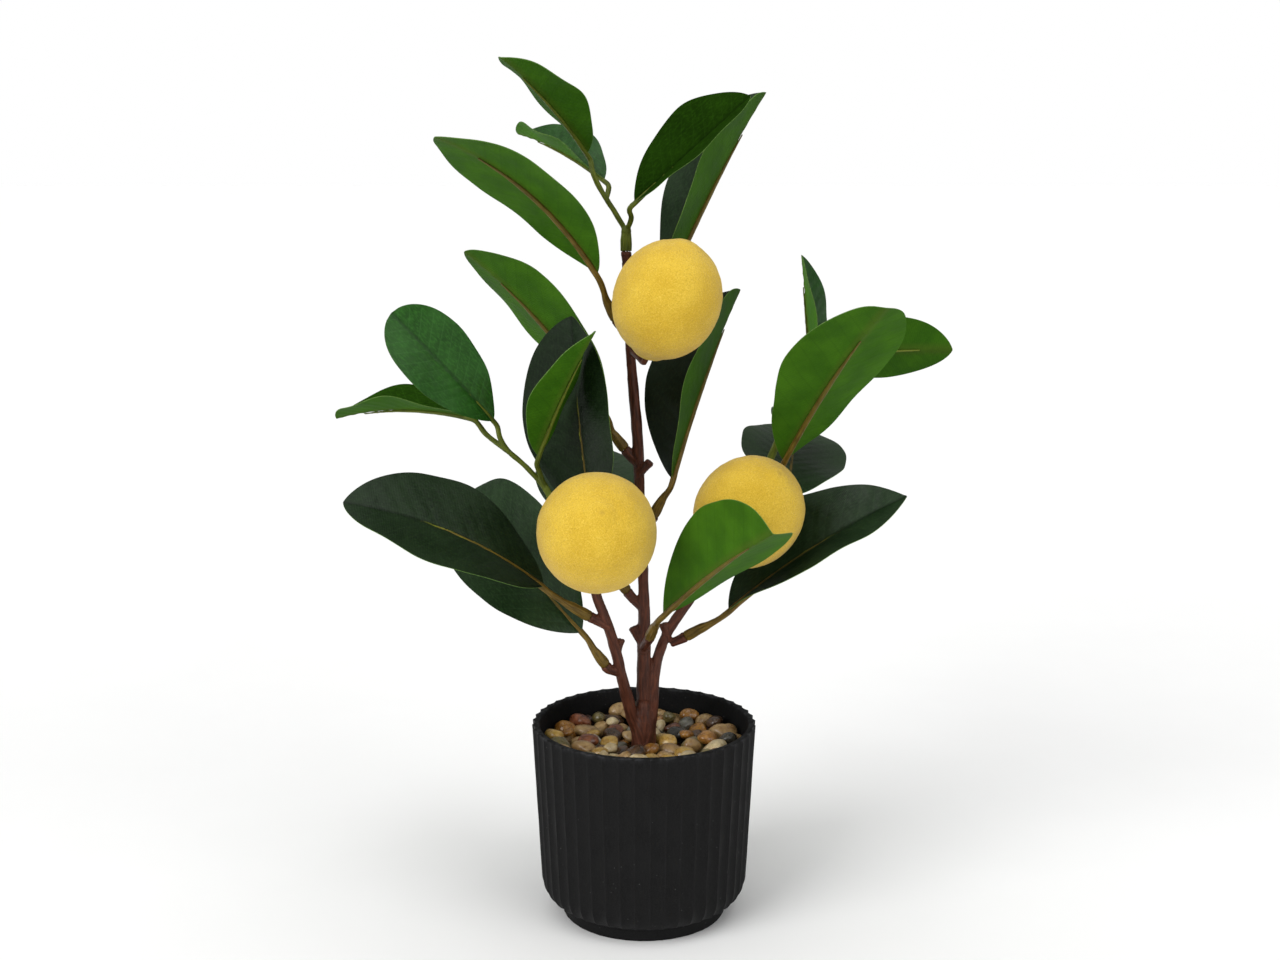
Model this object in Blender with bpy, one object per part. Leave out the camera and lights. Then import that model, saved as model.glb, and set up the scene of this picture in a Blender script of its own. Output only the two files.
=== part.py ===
"""Artificial lemon tree in a ribbed pot: the CAD model.

Sizes below are in millimetres and are turned into metres when a mesh is made. +Z is up and the origin is the
centre of the pot's flat underside. Points of the plant are measured from the centre of the gravel's surface.
"""
import math

import bmesh
import bpy
from mathutils import Quaternion, Vector

MM = 0.001

# Pot
POT_HEIGHT = 104.0
RIM_RADIUS = 59.0
SHOULDER_RADIUS = 54.7      # where the straight wall meets the rounded bottom edge
SHOULDER_HEIGHT = 21.0
FOOT_RADIUS = 43.5
FOOT_HEIGHT = 8.0
FOOT_EDGE = 0.8             # chamfer of the foot's lower edge
BODY_BOTTOM_RADIUS = 46.0   # lower edge of the ribbed body, just outside the foot
POT_WALL = 3.8
POT_FLOOR = 3.0
RIB_COUNT = 45
RIB_DEPTH = 0.9

# Filling
GRAVEL_RECESS = 13.5        # rim down to the gravel's surface
GRAVEL_DEPTH = 13.0
BLOCK_SOCKET_FLOOR = 24.0   # thickness of the planting block under the trunk
PEBBLE_COUNT = 12
PEBBLE_SIZE = 6.0           # half length of a large pebble

# Plant
TRUNK_RADIUS = 6.6
TRUNK_DEPTH = 46.0          # below the gravel's surface
WIRE_RADIUS = 1.0
WIRE_TOP = 42.0
PEG_RADIUS = 1.5
SOCKET_DEPTH = 7.0
SLEEVE_RADIUS = 2.9
PETIOLE_RADIUS = 1.5
RIB_TIP_RADIUS = 0.7
TWIG_RADIUS = 1.3           # green arms of the sprigs

# Leaves: length, width
LEAF_SIZES = {"large": (110.0, 60.0), "small": (76.0, 38.0)}
BASE_TAPER = 0.85           # how slender a blade starts
BLADE_THICKNESS = 0.9

# Places along a blade, as shares of its length; the midrib runs under the first seven
BLADE_SHARES = (0, 0.08, 0.2, 0.36, 0.5, 0.64, 0.78, 0.9, 0.96, 1)
RIB_PLACES = 7

LEMON_LENGTH = 62.0

GAP = 0.3                   # between pieces that touch
FIT = 0.35                  # radial clearance of a peg in its socket

GRAVEL_Z = POT_HEIGHT - GRAVEL_RECESS

# Branches: points from the trunk outward with the radius at each
BRANCHES = {
    "left": [((-1, 0, 2), 3.6), ((-6, -2, 16), 3.3), ((-10, -7, 33), 3.0), ((-14, -12, 53), 2.8),
             ((-19, -17, 72), 2.7), ((-24, -20, 86), 2.5), ((-28, -19, 105), 2.2)],
    "centre": [((0, 0, 2), 4.2), ((0, 1, 30), 4.0), ((0, 2, 52), 3.7), ((0, 3, 78), 2.8),
               ((-2, 5, 131), 2.7), ((-3, 5, 158), 2.8), ((-5, 5, 184), 2.9), ((-7, 6, 209), 2.5),
               ((-8, 6, 235), 2.4), ((-9, 5, 257), 2.3)],
    "right": [((1, 0, 2), 3.6), ((4, 1, 15), 3.3), ((5, 2, 30), 3.0), ((7, 4, 46), 2.8),
              ((13, 6, 61), 2.7), ((24, 8, 77), 2.6), ((32, 10, 88), 2.5), ((41, 16, 99), 2.3),
              ((51, 20, 112), 2.2)],
}

# Broken-off stubs where no leaf is fitted: root and end
STUBS = [((-14, -11, 53), (-12, -10, 61)), ((-1, 2, 54), (-6, 2, 64)), ((-3, 5, 144), (3, 1, 152)),
         ((13, 6, 56), (10, 5, 65))]

# Leaves: size, base of the blade, the place its tip is aimed at, where its upper face looks,
# then fold, droop and twist in degrees, and the shape of the tip
BLUNT, USUAL, POINTED = 0.5, 0.7, 0.9
LEAVES = {
    "leaf_01": ("small", (-28, 4, 308), (-65, -44, 349), (0.6, 0.6, 0.5), 20, 15, 0, USUAL),
    "leaf_02": ("small", (-20, 16, 295), (-68, 72, 319), (0.1, -0.1, 1), 35, 15, 0, USUAL),
    "leaf_03": ("small", (-5, -6, 284), (52, -10, 335), (-0.5, -0.7, 0.5), 35, 0, 0, USUAL),
    "leaf_04": ("large", (11, 10, 241), (61, 22, 337), (-0.9, -0.2, 0.4), 35, 10, 0, USUAL),
    "leaf_05": ("large", (-23, -10, 249), (-90, -50, 309), (0.5, 0.5, 0.7), 0, 40, 0, USUAL),
    "leaf_06": ("large", (-19, 5, 177), (-91, 12, 259), (0.6, 0.5, 0.6), 10, 25, 0, USUAL),
    "leaf_07": ("large", (-26, -9, 119), (-36, -16, 229), (-0.6, -0.8, 0), 20, 10, 0, USUAL),
    "leaf_08": ("small", (-53, -24, 160), (-20, -54, 230), (-0.8, 0.5, 0.3), 20, 10, 30, USUAL),
    "leaf_09": ("small", (-75, -17, 176), (-120, -38, 230), (0.2, -0.9, 0.3), 15, 20, 0, BLUNT),
    "leaf_10": ("small", (-89, -12, 178), (-158, 14, 173), (0, -0.1, 1), 30, 25, 0, USUAL),
    "leaf_11": ("large", (-50, -32, 95), (-137, -50, 138), (0.3, -0.5, 0.8), 12, 40, 0, USUAL),
    "leaf_12": ("large", (-32, -15, 66), (-94, 40, 125), (-0.2, -0.8, 0.4), 20, 60, 0, USUAL),
    "leaf_13": ("large", (-28, 8, 115), (-32, 112, 140), (0, -0.2, 1), 5, 10, 0, USUAL),
    "leaf_14": ("large", (14, -2, 144), (50, 42, 235), (-0.8, -0.5, 0.3), 50, 10, 0, USUAL),
    "leaf_15": ("small", (91, 37, 180), (83, 40, 254), (1, -0.3, 0.1), 25, 0, 0, USUAL),
    "leaf_16": ("large", (72, 6, 152), (113, -50, 233), (-0.4, 0.8, 0.3), 8, 15, 0, BLUNT),
    "leaf_17": ("small", (84, 10, 204), (155, 16, 208), (0.1, 0.9, 0.4), 15, 20, 0, USUAL),
    "leaf_18": ("large", (75, 17, 131), (89, 120, 151), (0.2, -0.3, 1), 5, 10, 0, USUAL),
    "leaf_19": ("large", (44, 1, 74), (130, 3, 131), (-0.5, -0.4, 0.7), 24, 20, 20, POINTED),
    "leaf_20": ("large", (10, -31, 80), (56, -107, 137), (0.3, 0.7, 0.6), 45, 20, 0, USUAL),
    "leaf_21": ("small", (84, 22, 168), (92, 93, 168), (0, 0, 1), 5, 0, 0, USUAL),
}

# Stalks of the large leaves: root on the branch, start and end of the sleeve
STALKS = {
    "leaf_04": ((-7, 6, 215), (-1, 9, 223), (5, 10, 232)),
    "leaf_05": ((-7, 6, 216), (-14, 1, 225), (-19, -4, 235)),
    "leaf_06": ((-3, 5, 150), (-10, 6, 158), (-17, 7, 167)),
    "leaf_07": ((-1, 3, 74), (-9, 4, 83), (-17, 1, 94)),
    "leaf_11": ((-19, -17, 70), (-28, -20, 76), (-39, -26, 84)),
    "leaf_12": ((-14, -10, 43), (-20, -13, 48), (-26, -15, 57)),
    "leaf_13": ((-28, -19, 102), (-29, -12, 105), (-27, -1, 109)),
    "leaf_14": ((-2, 5, 116), (5, 1, 124), (10, -1, 134)),
    "leaf_16": ((50, 20, 111), (58, 20, 121), (67, 18, 133)),
    "leaf_18": ((50, 20, 111), (59, 16, 115), (67, 15, 121)),
    "leaf_19": ((14, 6, 54), (22, 5, 58), (34, 3, 65)),
    "leaf_20": ((-1, 2, 52), (3, -10, 62), (6, -21, 72)),
}

# Sprigs: root of the peg, then the points of the stem; arms run from a stem point to a small leaf
SPRIGS = {
    "top_sprig": (((-9, 5, 254), (-9, 5, 259), (-9, 5, 271)),
                  {"leaf_01": [(-9, 5, 269), (-15, 5, 279), (-22, 4, 290), (-26, 3, 299)],
                   "leaf_02": [(-19, 5, 285), (-18, 10, 289)],
                   "leaf_03": [(-9, 5, 269), (-6, 0, 276)]}),
    "left_sprig": (((-28, -19, 102), (-31, -18, 108), (-36, -18, 118), (-44, -17, 132), (-51, -16, 144)),
                   {"leaf_08": [(-50, -16, 142), (-53, -20, 152)],
                    "leaf_09": [(-50, -16, 142), (-60, -15, 153), (-69, -15, 161), (-73, -16, 169)],
                    "leaf_10": [(-68, -15, 160), (-80, -13, 169)]}),
    "right_sprig": (((50, 20, 111), (55, 25, 121), (61, 27, 133), (69, 25, 155), (76, 20, 173)),
                    {"leaf_15": [(75, 20, 171), (81, 28, 171), (87, 33, 172)],
                     "leaf_17": [(75, 20, 171), (78, 16, 184), (79, 13, 194)],
                     "leaf_21": [(74, 20, 170), (79, 20, 168)]}),
}

# Lemons: end of the fruit that the twig enters, direction of the fruit's axis, diameter, points of the twig
LEMONS = {
    "lemon_left": ((-26, -31, 112), (0.1, -0.85, 0.5), 58.0, [(-28, -19, 102)]),
    "lemon_top": ((1, -17, 208), (0.33, -0.21, 0.92), 53.0, [(-6, 5, 209), (-3, -6, 207)]),
    "lemon_right": ((39, 3, 106), (0.46, -0.5, 0.73), 55.0, [(32, 10, 88), (34, 9, 98)]),
}

COLOURS = {
    "charcoal_plastic": ((0.014, 0.014, 0.015), 0.6),
    "planting_block": ((0.30, 0.29, 0.27), 0.9),
    "pebble": ((0.38, 0.27, 0.16), 0.5),
    "brown_plastic": ((0.07, 0.022, 0.013), 0.5),
    "olive_plastic": ((0.16, 0.13, 0.03), 0.5),
    "green_plastic": ((0.10, 0.14, 0.02), 0.5),
    "leaf_fabric": ((0.02, 0.06, 0.012), 0.6),
    "lemon_foam": ((0.72, 0.45, 0.06), 0.8),
    "steel_wire": ((0.5, 0.5, 0.5), 0.4),
}


def clear_scene():
    for thing in list(bpy.data.objects):
        bpy.data.objects.remove(thing, do_unlink=True)


def material(name):
    found = bpy.data.materials.get(name)
    if found:
        return found
    colour, roughness = COLOURS[name]
    made = bpy.data.materials.new(name)
    made.use_nodes = True
    shader = made.node_tree.nodes["Principled BSDF"]
    shader.inputs["Base Color"].default_value = (*colour, 1.0)
    shader.inputs["Roughness"].default_value = roughness
    shader.inputs["Metallic"].default_value = 1.0 if name == "steel_wire" else 0.0
    return made


def add_object(name, points, faces, slot):
    """Make an object from points in millimetres, with its faces turned outward."""
    mesh = bpy.data.meshes.new(name)
    mesh.from_pydata([Vector(p) * MM for p in points], [], faces)
    built = bmesh.new()
    built.from_mesh(mesh)
    bmesh.ops.recalc_face_normals(built, faces=built.faces)
    built.to_mesh(mesh)
    built.free()
    mesh.shade_smooth()
    mesh.set_sharp_from_angle(angle=math.radians(40))
    mesh.materials.append(material(slot))
    thing = bpy.data.objects.new(name, mesh)
    bpy.context.collection.objects.link(thing)
    return thing


def join_solids(name, solids, slot):
    """Union the given solids, which stay as hidden guides, into one named body."""
    guides = bpy.data.collections.new(name + "_guides")
    bpy.context.scene.collection.children.link(guides)
    for solid in solids[1:]:
        bpy.context.collection.objects.unlink(solid)
        guides.objects.link(solid)
        solid.hide_render = True
        solid.display_type = "WIRE"
    body = solids[0]
    body.name = name
    union = body.modifiers.new("union", "BOOLEAN")
    union.operation = "UNION"
    union.operand_type = "COLLECTION"
    union.collection = guides
    body.data.materials.clear()
    body.data.materials.append(material(slot))
    return body


def plant(point):
    """A point of the plant in the pot's frame."""
    return Vector(point) + Vector((0, 0, GRAVEL_Z))


def lathe(name, profile, slot, steps, radius_at=None):
    """Turn a profile of (radius, height) about Z; ends on the axis close the body."""
    points = []
    faces = []
    rings = []
    for radius, height in profile:
        if radius == 0:
            rings.append([len(points)])
            points.append((0, 0, height))
            continue
        ring = []
        for step in range(steps):
            angle = 2 * math.pi * step / steps
            r = radius_at(radius, height, step) if radius_at else radius
            ring.append(len(points))
            points.append((r * math.cos(angle), r * math.sin(angle), height))
        rings.append(ring)
    for lower, upper in zip(rings, rings[1:]):
        faces += bridge(lower, upper)
    if len(rings[0]) > 1:
        faces += bridge(rings[-1], rings[0])
    return add_object(name, points, faces, slot)


def bridge(lower, upper):
    """Faces between two closed rings of point numbers; a ring of one point is a pole."""
    count = max(len(lower), len(upper))
    faces = []
    for i in range(count):
        j = (i + 1) % count
        if len(lower) == 1:
            faces.append((lower[0], upper[i], upper[j]))
        elif len(upper) == 1:
            faces.append((lower[i], lower[j], upper[0]))
        else:
            faces.append((lower[i], lower[j], upper[j], upper[i]))
    return faces


def smooth_path(points, spacing):
    """Points about one spacing apart on a Catmull-Rom curve through the given points."""
    points = [Vector(p) for p in points]
    padded = [2 * points[0] - points[1]] + points + [2 * points[-1] - points[-2]]
    path = [points[0]]
    for a, b, c, d in zip(padded, padded[1:], padded[2:], padded[3:]):
        steps = max(1, round((c - b).length / spacing))
        for step in range(1, steps + 1):
            t = step / steps
            path.append(0.5 * (2 * b + (c - a) * t + (2 * a - 5 * b + 4 * c - d) * t * t
                               + (3 * b - a - 3 * c + d) * t ** 3))
    return path


def tube(name, path, radii, slot, sides, socket=None):
    """A round bar along a path; socket is the (radius, depth) of a blind hole in its first end."""
    last = len(path) - 1
    tangents = [(path[min(i + 1, last)] - path[max(i - 1, 0)]).normalized() for i in range(last + 1)]
    across = tangents[0].orthogonal().normalized()
    frames = []
    for i, tangent in enumerate(tangents):
        if i:
            across = tangents[i - 1].rotation_difference(tangent) @ across
        across = (across - across.dot(tangent) * tangent).normalized()
        frames.append((path[i], across.copy(), tangent.cross(across)))
    start, first, second = frames[0]
    rings = []
    if socket:
        hole, depth = socket
        floor = start + tangents[0] * depth
        rings += [(floor, first, second, 0), (floor, first, second, hole), (start, first, second, hole)]
    else:
        rings.append((start, first, second, 0))
    rings += [(*frame, radius) for frame, radius in zip(frames, radii)]
    rings.append((*frames[-1], 0))
    points = []
    loops = []
    for centre, u, v, radius in rings:
        loop = []
        for side in range(sides if radius else 1):
            angle = 2 * math.pi * side / sides
            loop.append(len(points))
            points.append(centre + radius * (math.cos(angle) * u + math.sin(angle) * v))
        loops.append(loop)
    faces = []
    for lower, upper in zip(loops, loops[1:]):
        faces += bridge(lower, upper)
    return add_object(name, points, faces, slot)


def blend(values, count):
    """Spread a short list of values evenly over a number of places."""
    spread = []
    for i in range(count):
        place = i / max(count - 1, 1) * (len(values) - 1)
        low = min(int(place), len(values) - 2)
        spread.append(values[low] + (values[low + 1] - values[low]) * (place - low))
    return spread


# Pot and filling

def body_radius(height):
    """Outer radius of the ribbed wall between the shoulder and the rim."""
    share = (height - SHOULDER_HEIGHT) / (POT_HEIGHT - SHOULDER_HEIGHT)
    return SHOULDER_RADIUS + (RIM_RADIUS - SHOULDER_RADIUS) * share


def inner_profile(clearance, top):
    """Inside of the pot from the middle of the floor up to a height, held off by a clearance."""
    knee = FOOT_RADIUS - POT_WALL
    shoulder = SHOULDER_RADIUS - POT_WALL - 0.4
    return [(0, POT_FLOOR + clearance), (knee - clearance, POT_FLOOR + clearance),
            (knee + 0.5 - clearance, FOOT_HEIGHT + POT_FLOOR + clearance),
            (shoulder - clearance, SHOULDER_HEIGHT + clearance),
            (body_radius(top) - POT_WALL - clearance, top)]


def make_pot():
    """Ribbed outside over a rounded bottom edge and a plain foot, and a smooth inside."""
    rise = SHOULDER_HEIGHT - FOOT_HEIGHT
    run = SHOULDER_RADIUS - BODY_BOTTOM_RADIUS
    foot = [(0, 0), (FOOT_RADIUS - FOOT_EDGE, 0), (FOOT_RADIUS, FOOT_EDGE), (FOOT_RADIUS, FOOT_HEIGHT)]
    ribbed = []
    for degrees in (0, 30, 60, 90):
        turn = math.radians(degrees)
        ribbed.append((BODY_BOTTOM_RADIUS + run * math.sin(turn), SHOULDER_HEIGHT - rise * math.cos(turn)))
    ribbed.append((RIM_RADIUS, POT_HEIGHT))
    inside = inner_profile(0, POT_HEIGHT)[::-1]

    def radius_at(radius, height, step):
        if (radius, height) in ribbed:
            return radius - RIB_DEPTH * (step % 2)
        return radius

    lathe("pot", foot + ribbed + inside, "charcoal_plastic", 2 * RIB_COUNT, radius_at)


def make_planting_block():
    top = GRAVEL_Z - GRAVEL_DEPTH
    bore = TRUNK_RADIUS + FIT
    outside = inner_profile(GAP + 0.1, top)
    lathe("planting_block", outside + [(bore, top), (bore, BLOCK_SOCKET_FLOOR), (0, BLOCK_SOCKET_FLOOR)],
          "planting_block", 36)


def bed_height(x, y):
    """Height of the small gravel's surface, a shallow dish with bumps."""
    bumps = math.sin(0.55 * x + 0.9) * math.cos(0.62 * y) + 0.6 * math.sin(0.31 * x - 0.43 * y)
    return GRAVEL_Z - 3.4 + 0.9 * bumps


def make_gravel_bed():
    """A ring of gravel, round the trunk and inside the wall, with a bumpy top."""
    low = GRAVEL_Z - GRAVEL_DEPTH + GAP
    hole = TRUNK_RADIUS + FIT
    wall = body_radius(low) - POT_WALL - GAP
    steps = 40
    radii = [hole + (wall - hole) * i / 7 for i in range(8)]
    points = []
    loops = []
    for radius in radii:
        loop = []
        for step in range(steps):
            angle = 2 * math.pi * step / steps
            x, y = radius * math.cos(angle), radius * math.sin(angle)
            loop.append(len(points))
            points.append((x, y, bed_height(x, y)))
        loops.append(loop)
    for radius in (wall, hole):
        loop = []
        for step in range(steps):
            angle = 2 * math.pi * step / steps
            loop.append(len(points))
            points.append((radius * math.cos(angle), radius * math.sin(angle), low))
        loops.append(loop)
    faces = []
    for lower, upper in zip(loops, loops[1:] + loops[:1]):
        faces += bridge(lower, upper)
    add_object("gravel_bed", points, faces, "pebble")


def make_pebbles():
    """Large pebbles lying in a ring on the gravel, each with its own proportions."""
    ring = (TRUNK_RADIUS + body_radius(GRAVEL_Z) - POT_WALL) / 2 + 2
    for number in range(PEBBLE_COUNT):
        angle = 2 * math.pi * (number + 0.3 * math.sin(5.0 * number)) / PEBBLE_COUNT
        reach = ring + 9 * math.sin(2.4 * number + 1)
        centre = Vector((reach * math.cos(angle), reach * math.sin(angle), 0))
        size = PEBBLE_SIZE * (1 + 0.12 * math.sin(1.7 * number))
        half = Vector((size, size * (0.72 + 0.1 * math.sin(3.1 * number)), size * 0.5))
        name = f"pebble_{number + 1:02d}"
        built = bmesh.new()
        bmesh.ops.create_icosphere(built, subdivisions=2, radius=1.0)
        turn = Quaternion((0, 0, 1), 1.9 * number)
        points = []
        for vert in built.verts:
            lump = 1 + 0.06 * math.sin(3 * vert.co.x + number) * math.cos(2.5 * vert.co.y - number)
            local = Vector((vert.co.x * half.x, vert.co.y * half.y, vert.co.z * half.z)) * lump
            points.append(turn @ local + centre)
        lift = max(bed_height(p.x, p.y) - p.z for p in points if p.z < 0.4 * half.z) + 3 * GAP
        faces = [[v.index for v in face.verts] for face in built.faces]
        built.free()
        add_object(name, [p + Vector((0, 0, lift)) for p in points], faces, "pebble")


# Branches and pegs

def peg_points(root, start, end):
    """A peg from inside its branch to just short of the floor of the socket that it fills."""
    root, start, end = plant(root), plant(start), plant(end)
    along = (end - start).normalized()
    return [root, start, start + along * (SOCKET_DEPTH - GAP)]


def socket_starts():
    """Root, mouth and next point of every sleeve that is pushed over a peg."""
    rows = list(STALKS.values())
    rows += [stem[:3] for stem, _ in SPRIGS.values()]
    return rows


def make_branch_moulding():
    parts = []
    trunk = [plant((0, 0, -TRUNK_DEPTH)), plant((0, 0, -8)), plant((0, 0, 6)), plant((0, 0, 15))]
    parts.append(tube("trunk", trunk, [TRUNK_RADIUS, TRUNK_RADIUS, TRUNK_RADIUS, 4.6], "brown_plastic", 12))
    for side, rows in BRANCHES.items():
        path = smooth_path([plant(point) for point, _ in rows], 14)
        radii = blend([radius for _, radius in rows], len(path))
        parts.append(tube("branch_" + side, path, radii, "brown_plastic", 8))
    for root, end in STUBS:
        parts.append(tube("stub", [plant(root), plant(end)], [1.7, 2.1], "brown_plastic", 8))
    for row in socket_starts():
        root, mouth, tip = peg_points(*row)
        along = (tip - mouth).normalized()
        shoulder = mouth - along * GAP
        collar = [root, shoulder - along * 2.5, shoulder]
        parts.append(tube("collar", collar, [2.2, 2.5, 2.5], "brown_plastic", 8))
        parts.append(tube("peg", [shoulder - along, tip], [PEG_RADIUS] * 2, "brown_plastic", 8))
    for end, axis, _, twig in LEMONS.values():
        axis = Vector(axis).normalized()
        entry = plant(end)
        path = smooth_path([plant(p) for p in twig] + [entry - axis * 3], 8)
        path.append(entry + axis * (SOCKET_DEPTH - GAP))
        parts.append(tube("twig", path, blend([2.1, 1.6, PEG_RADIUS], len(path) - 1) + [PEG_RADIUS],
                          "brown_plastic", 8))
    solid = join_solids("branch_moulding", parts, "brown_plastic")
    bore_start = plant((0, 0, -TRUNK_DEPTH - 1))
    bore = tube("wire_bore", [bore_start, plant((0, 0, WIRE_TOP + GAP))], [WIRE_RADIUS + FIT] * 2,
                "brown_plastic", 8)
    bore.hide_render = True
    bore.display_type = "WIRE"
    cut = solid.modifiers.new("wire_bore", "BOOLEAN")
    cut.operation = "DIFFERENCE"
    cut.object = bore
    wire = [plant((0, 0, -TRUNK_DEPTH)), plant((0, 0, WIRE_TOP))]
    tube("trunk_wire", wire, [WIRE_RADIUS] * 2, "steel_wire", 8)


# Leaves

class Blade:
    """The curved sheet of one leaf: a centre line with a side and a face direction at each place."""

    def __init__(self, row):
        size, base, aim, facing, fold, droop, twist, self.tip = row
        self.length, self.width = LEAF_SIZES[size]
        self.fold = math.radians(fold)
        droop, twist = math.radians(droop), math.radians(twist)
        along = (Vector(aim) - Vector(base)).normalized()
        side = Vector(facing).cross(along).normalized()
        arch = Quaternion(side, -droop / 2)
        along, face = arch @ along, arch @ along.cross(side)
        turn = Quaternion(along, -twist / 2)
        side, face = turn @ side, turn @ face
        self.places = []
        steps = 50
        point = plant(base)
        for step in range(steps + 1):
            self.places.append((point.copy(), along.copy(), side.copy(), face.copy()))
            bend = Quaternion(side, droop / steps)
            along, face = bend @ along, bend @ face
            point += along * self.length / steps
            curl = Quaternion(along, twist / steps)
            side, face = curl @ side, curl @ face

    def place(self, share):
        return self.places[round(share * (len(self.places) - 1))]

    def half_width(self, share):
        """Blunt-tipped oval, widest a little past the middle."""
        widest = BASE_TAPER / (BASE_TAPER + self.tip)
        fullest = widest ** BASE_TAPER * (1 - widest) ** self.tip
        curve = share ** BASE_TAPER * (1 - share) ** self.tip / fullest
        return max(self.width / 2 * curve, 1.0)

    def rib_path(self):
        """Under the middle of the blade, a gap away, starting just behind its base."""
        path = []
        for share, radius in zip(BLADE_SHARES, blend([PETIOLE_RADIUS, RIB_TIP_RADIUS], RIB_PLACES)):
            point, _, _, face = self.place(share)
            path.append(point - face * (BLADE_THICKNESS / 2 + GAP + radius))
        behind = self.places[0][1] * 5
        return [path[0] - behind] + path


def make_blade(name, row):
    blade = Blade(row)
    shares = BLADE_SHARES
    across = (-1, -0.5, 0, 0.5, 1)
    points = []
    for share in shares:
        point, _, side, face = blade.place(share)
        half = blade.half_width(share)
        for layer in (1, -1):
            for column in across:
                flat = side * (column * half * math.cos(blade.fold))
                lift = face * (abs(column) * half * math.sin(blade.fold) + layer * BLADE_THICKNESS / 2)
                points.append(point + flat + lift)
    faces = []
    width = len(across)
    row_size = 2 * width
    for i in range(len(shares) - 1):
        here, there = i * row_size, (i + 1) * row_size
        for layer in (0, width):
            for j in range(width - 1):
                a, b = here + layer + j, there + layer + j
                faces.append((a, a + 1, b + 1, b))
        for j in (0, width - 1):
            faces.append((here + j, here + width + j, there + width + j, there + j))
    for start in (0, (len(shares) - 1) * row_size):
        for j in range(width - 1):
            faces.append((start + j, start + j + 1, start + width + j + 1, start + width + j))
    add_object(name, points, faces, "leaf_fabric")


def make_stalk(name, row, stalk):
    """Sleeve, petiole and midrib of a large leaf in one moulding."""
    _, start, end = map(plant, stalk)
    rib = Blade(row).rib_path()
    sleeve = [start, start.lerp(end, 0.6), end]
    petiole = smooth_path([end] + rib[:2], 6)[1:]
    path = sleeve + petiole + rib[2:]
    radii = [SLEEVE_RADIUS, SLEEVE_RADIUS - 0.2, PETIOLE_RADIUS + 0.4]
    radii += [PETIOLE_RADIUS] * (len(petiole) - 1)
    radii += blend([PETIOLE_RADIUS, RIB_TIP_RADIUS], RIB_PLACES)
    tube(name, path, radii, "olive_plastic", 8, (PEG_RADIUS + FIT, SOCKET_DEPTH))


def make_sprig(name, stem, arms):
    points = [plant(p) for p in stem[1:]]
    tail = smooth_path(points[1:], 10) if len(points) > 2 else points[1:]
    path = [points[0], points[0].lerp(points[1], 0.8)] + tail
    radii = [SLEEVE_RADIUS, SLEEVE_RADIUS - 0.3] + blend([2.2, 1.8], len(tail))
    parts = [tube("stem", path, radii, "green_plastic", 8, (PEG_RADIUS + FIT, SOCKET_DEPTH))]
    for leaf, route in arms.items():
        rib = Blade(LEAVES[leaf]).rib_path()
        twig = smooth_path([plant(p) for p in route] + rib[:2], 8)
        radii = [TWIG_RADIUS] * (len(twig) - 1) + blend([TWIG_RADIUS, RIB_TIP_RADIUS], RIB_PLACES)
        parts.append(tube("arm", twig + rib[2:], radii, "green_plastic", 6))
    join_solids(name, parts, "green_plastic")


# Lemons

def make_lemon(name, end, axis, diameter):
    """An oval fruit with a blunt nipple, and a blind hole for its twig."""
    axis = Vector(axis).normalized()
    hole = PEG_RADIUS + FIT
    half = LEMON_LENGTH / 2
    profile = [(0, SOCKET_DEPTH), (hole, SOCKET_DEPTH), (hole, 0.4), (hole + 1.5, 0)]
    for degrees in (20, 36, 54, 72, 90, 108, 126, 144, 158):
        turn = math.radians(degrees)
        profile.append((diameter / 2 * math.sin(turn) ** 0.95, half - (half - 1.2) * math.cos(turn)))
    profile += [(5.2, LEMON_LENGTH - 0.9), (3.4, LEMON_LENGTH - 0.1), (0, LEMON_LENGTH)]
    fruit = lathe(name, profile, "lemon_foam", 16)
    fruit.rotation_mode = "QUATERNION"
    fruit.rotation_quaternion = Vector((0, 0, 1)).rotation_difference(axis)
    fruit.location = plant(end) * MM


def main():
    clear_scene()
    make_pot()
    make_planting_block()
    make_gravel_bed()
    make_pebbles()
    make_branch_moulding()
    for name, row in LEAVES.items():
        make_blade(name, row)
    for name, stalk in STALKS.items():
        make_stalk(name.replace("leaf", "stalk"), LEAVES[name], stalk)
    for name, (stem, arms) in SPRIGS.items():
        make_sprig(name, stem, arms)
    for name, (end, axis, diameter, _) in LEMONS.items():
        make_lemon(name, end, axis, diameter)


main()
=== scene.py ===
"""Finished looks for the potted artificial lemon tree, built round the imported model.

Shapes are worked out in millimetres and turned into metres when a mesh is made. Points of the plant are
measured from the centre of the gravel's surface, which lies below the rim of the CAD pot.
"""

import math
import random

import bmesh
import bpy
import numpy as np
from mathutils import Euler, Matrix, Quaternion, Vector, kdtree, noise


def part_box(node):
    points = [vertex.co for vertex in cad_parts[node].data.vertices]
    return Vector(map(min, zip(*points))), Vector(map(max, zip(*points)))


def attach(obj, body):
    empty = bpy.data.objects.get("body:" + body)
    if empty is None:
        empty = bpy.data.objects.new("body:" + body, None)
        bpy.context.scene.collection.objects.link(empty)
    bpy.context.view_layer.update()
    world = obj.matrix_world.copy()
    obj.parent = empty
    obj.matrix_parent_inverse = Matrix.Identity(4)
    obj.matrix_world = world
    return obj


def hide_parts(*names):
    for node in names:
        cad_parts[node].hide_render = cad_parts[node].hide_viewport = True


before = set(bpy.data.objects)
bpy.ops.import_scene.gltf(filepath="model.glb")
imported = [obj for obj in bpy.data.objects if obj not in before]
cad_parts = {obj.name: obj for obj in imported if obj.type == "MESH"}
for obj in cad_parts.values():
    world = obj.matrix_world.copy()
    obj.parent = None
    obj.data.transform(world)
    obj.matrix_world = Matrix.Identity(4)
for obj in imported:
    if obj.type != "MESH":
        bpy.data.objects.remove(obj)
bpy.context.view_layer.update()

MM = 0.001
BODY = "root"

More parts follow.
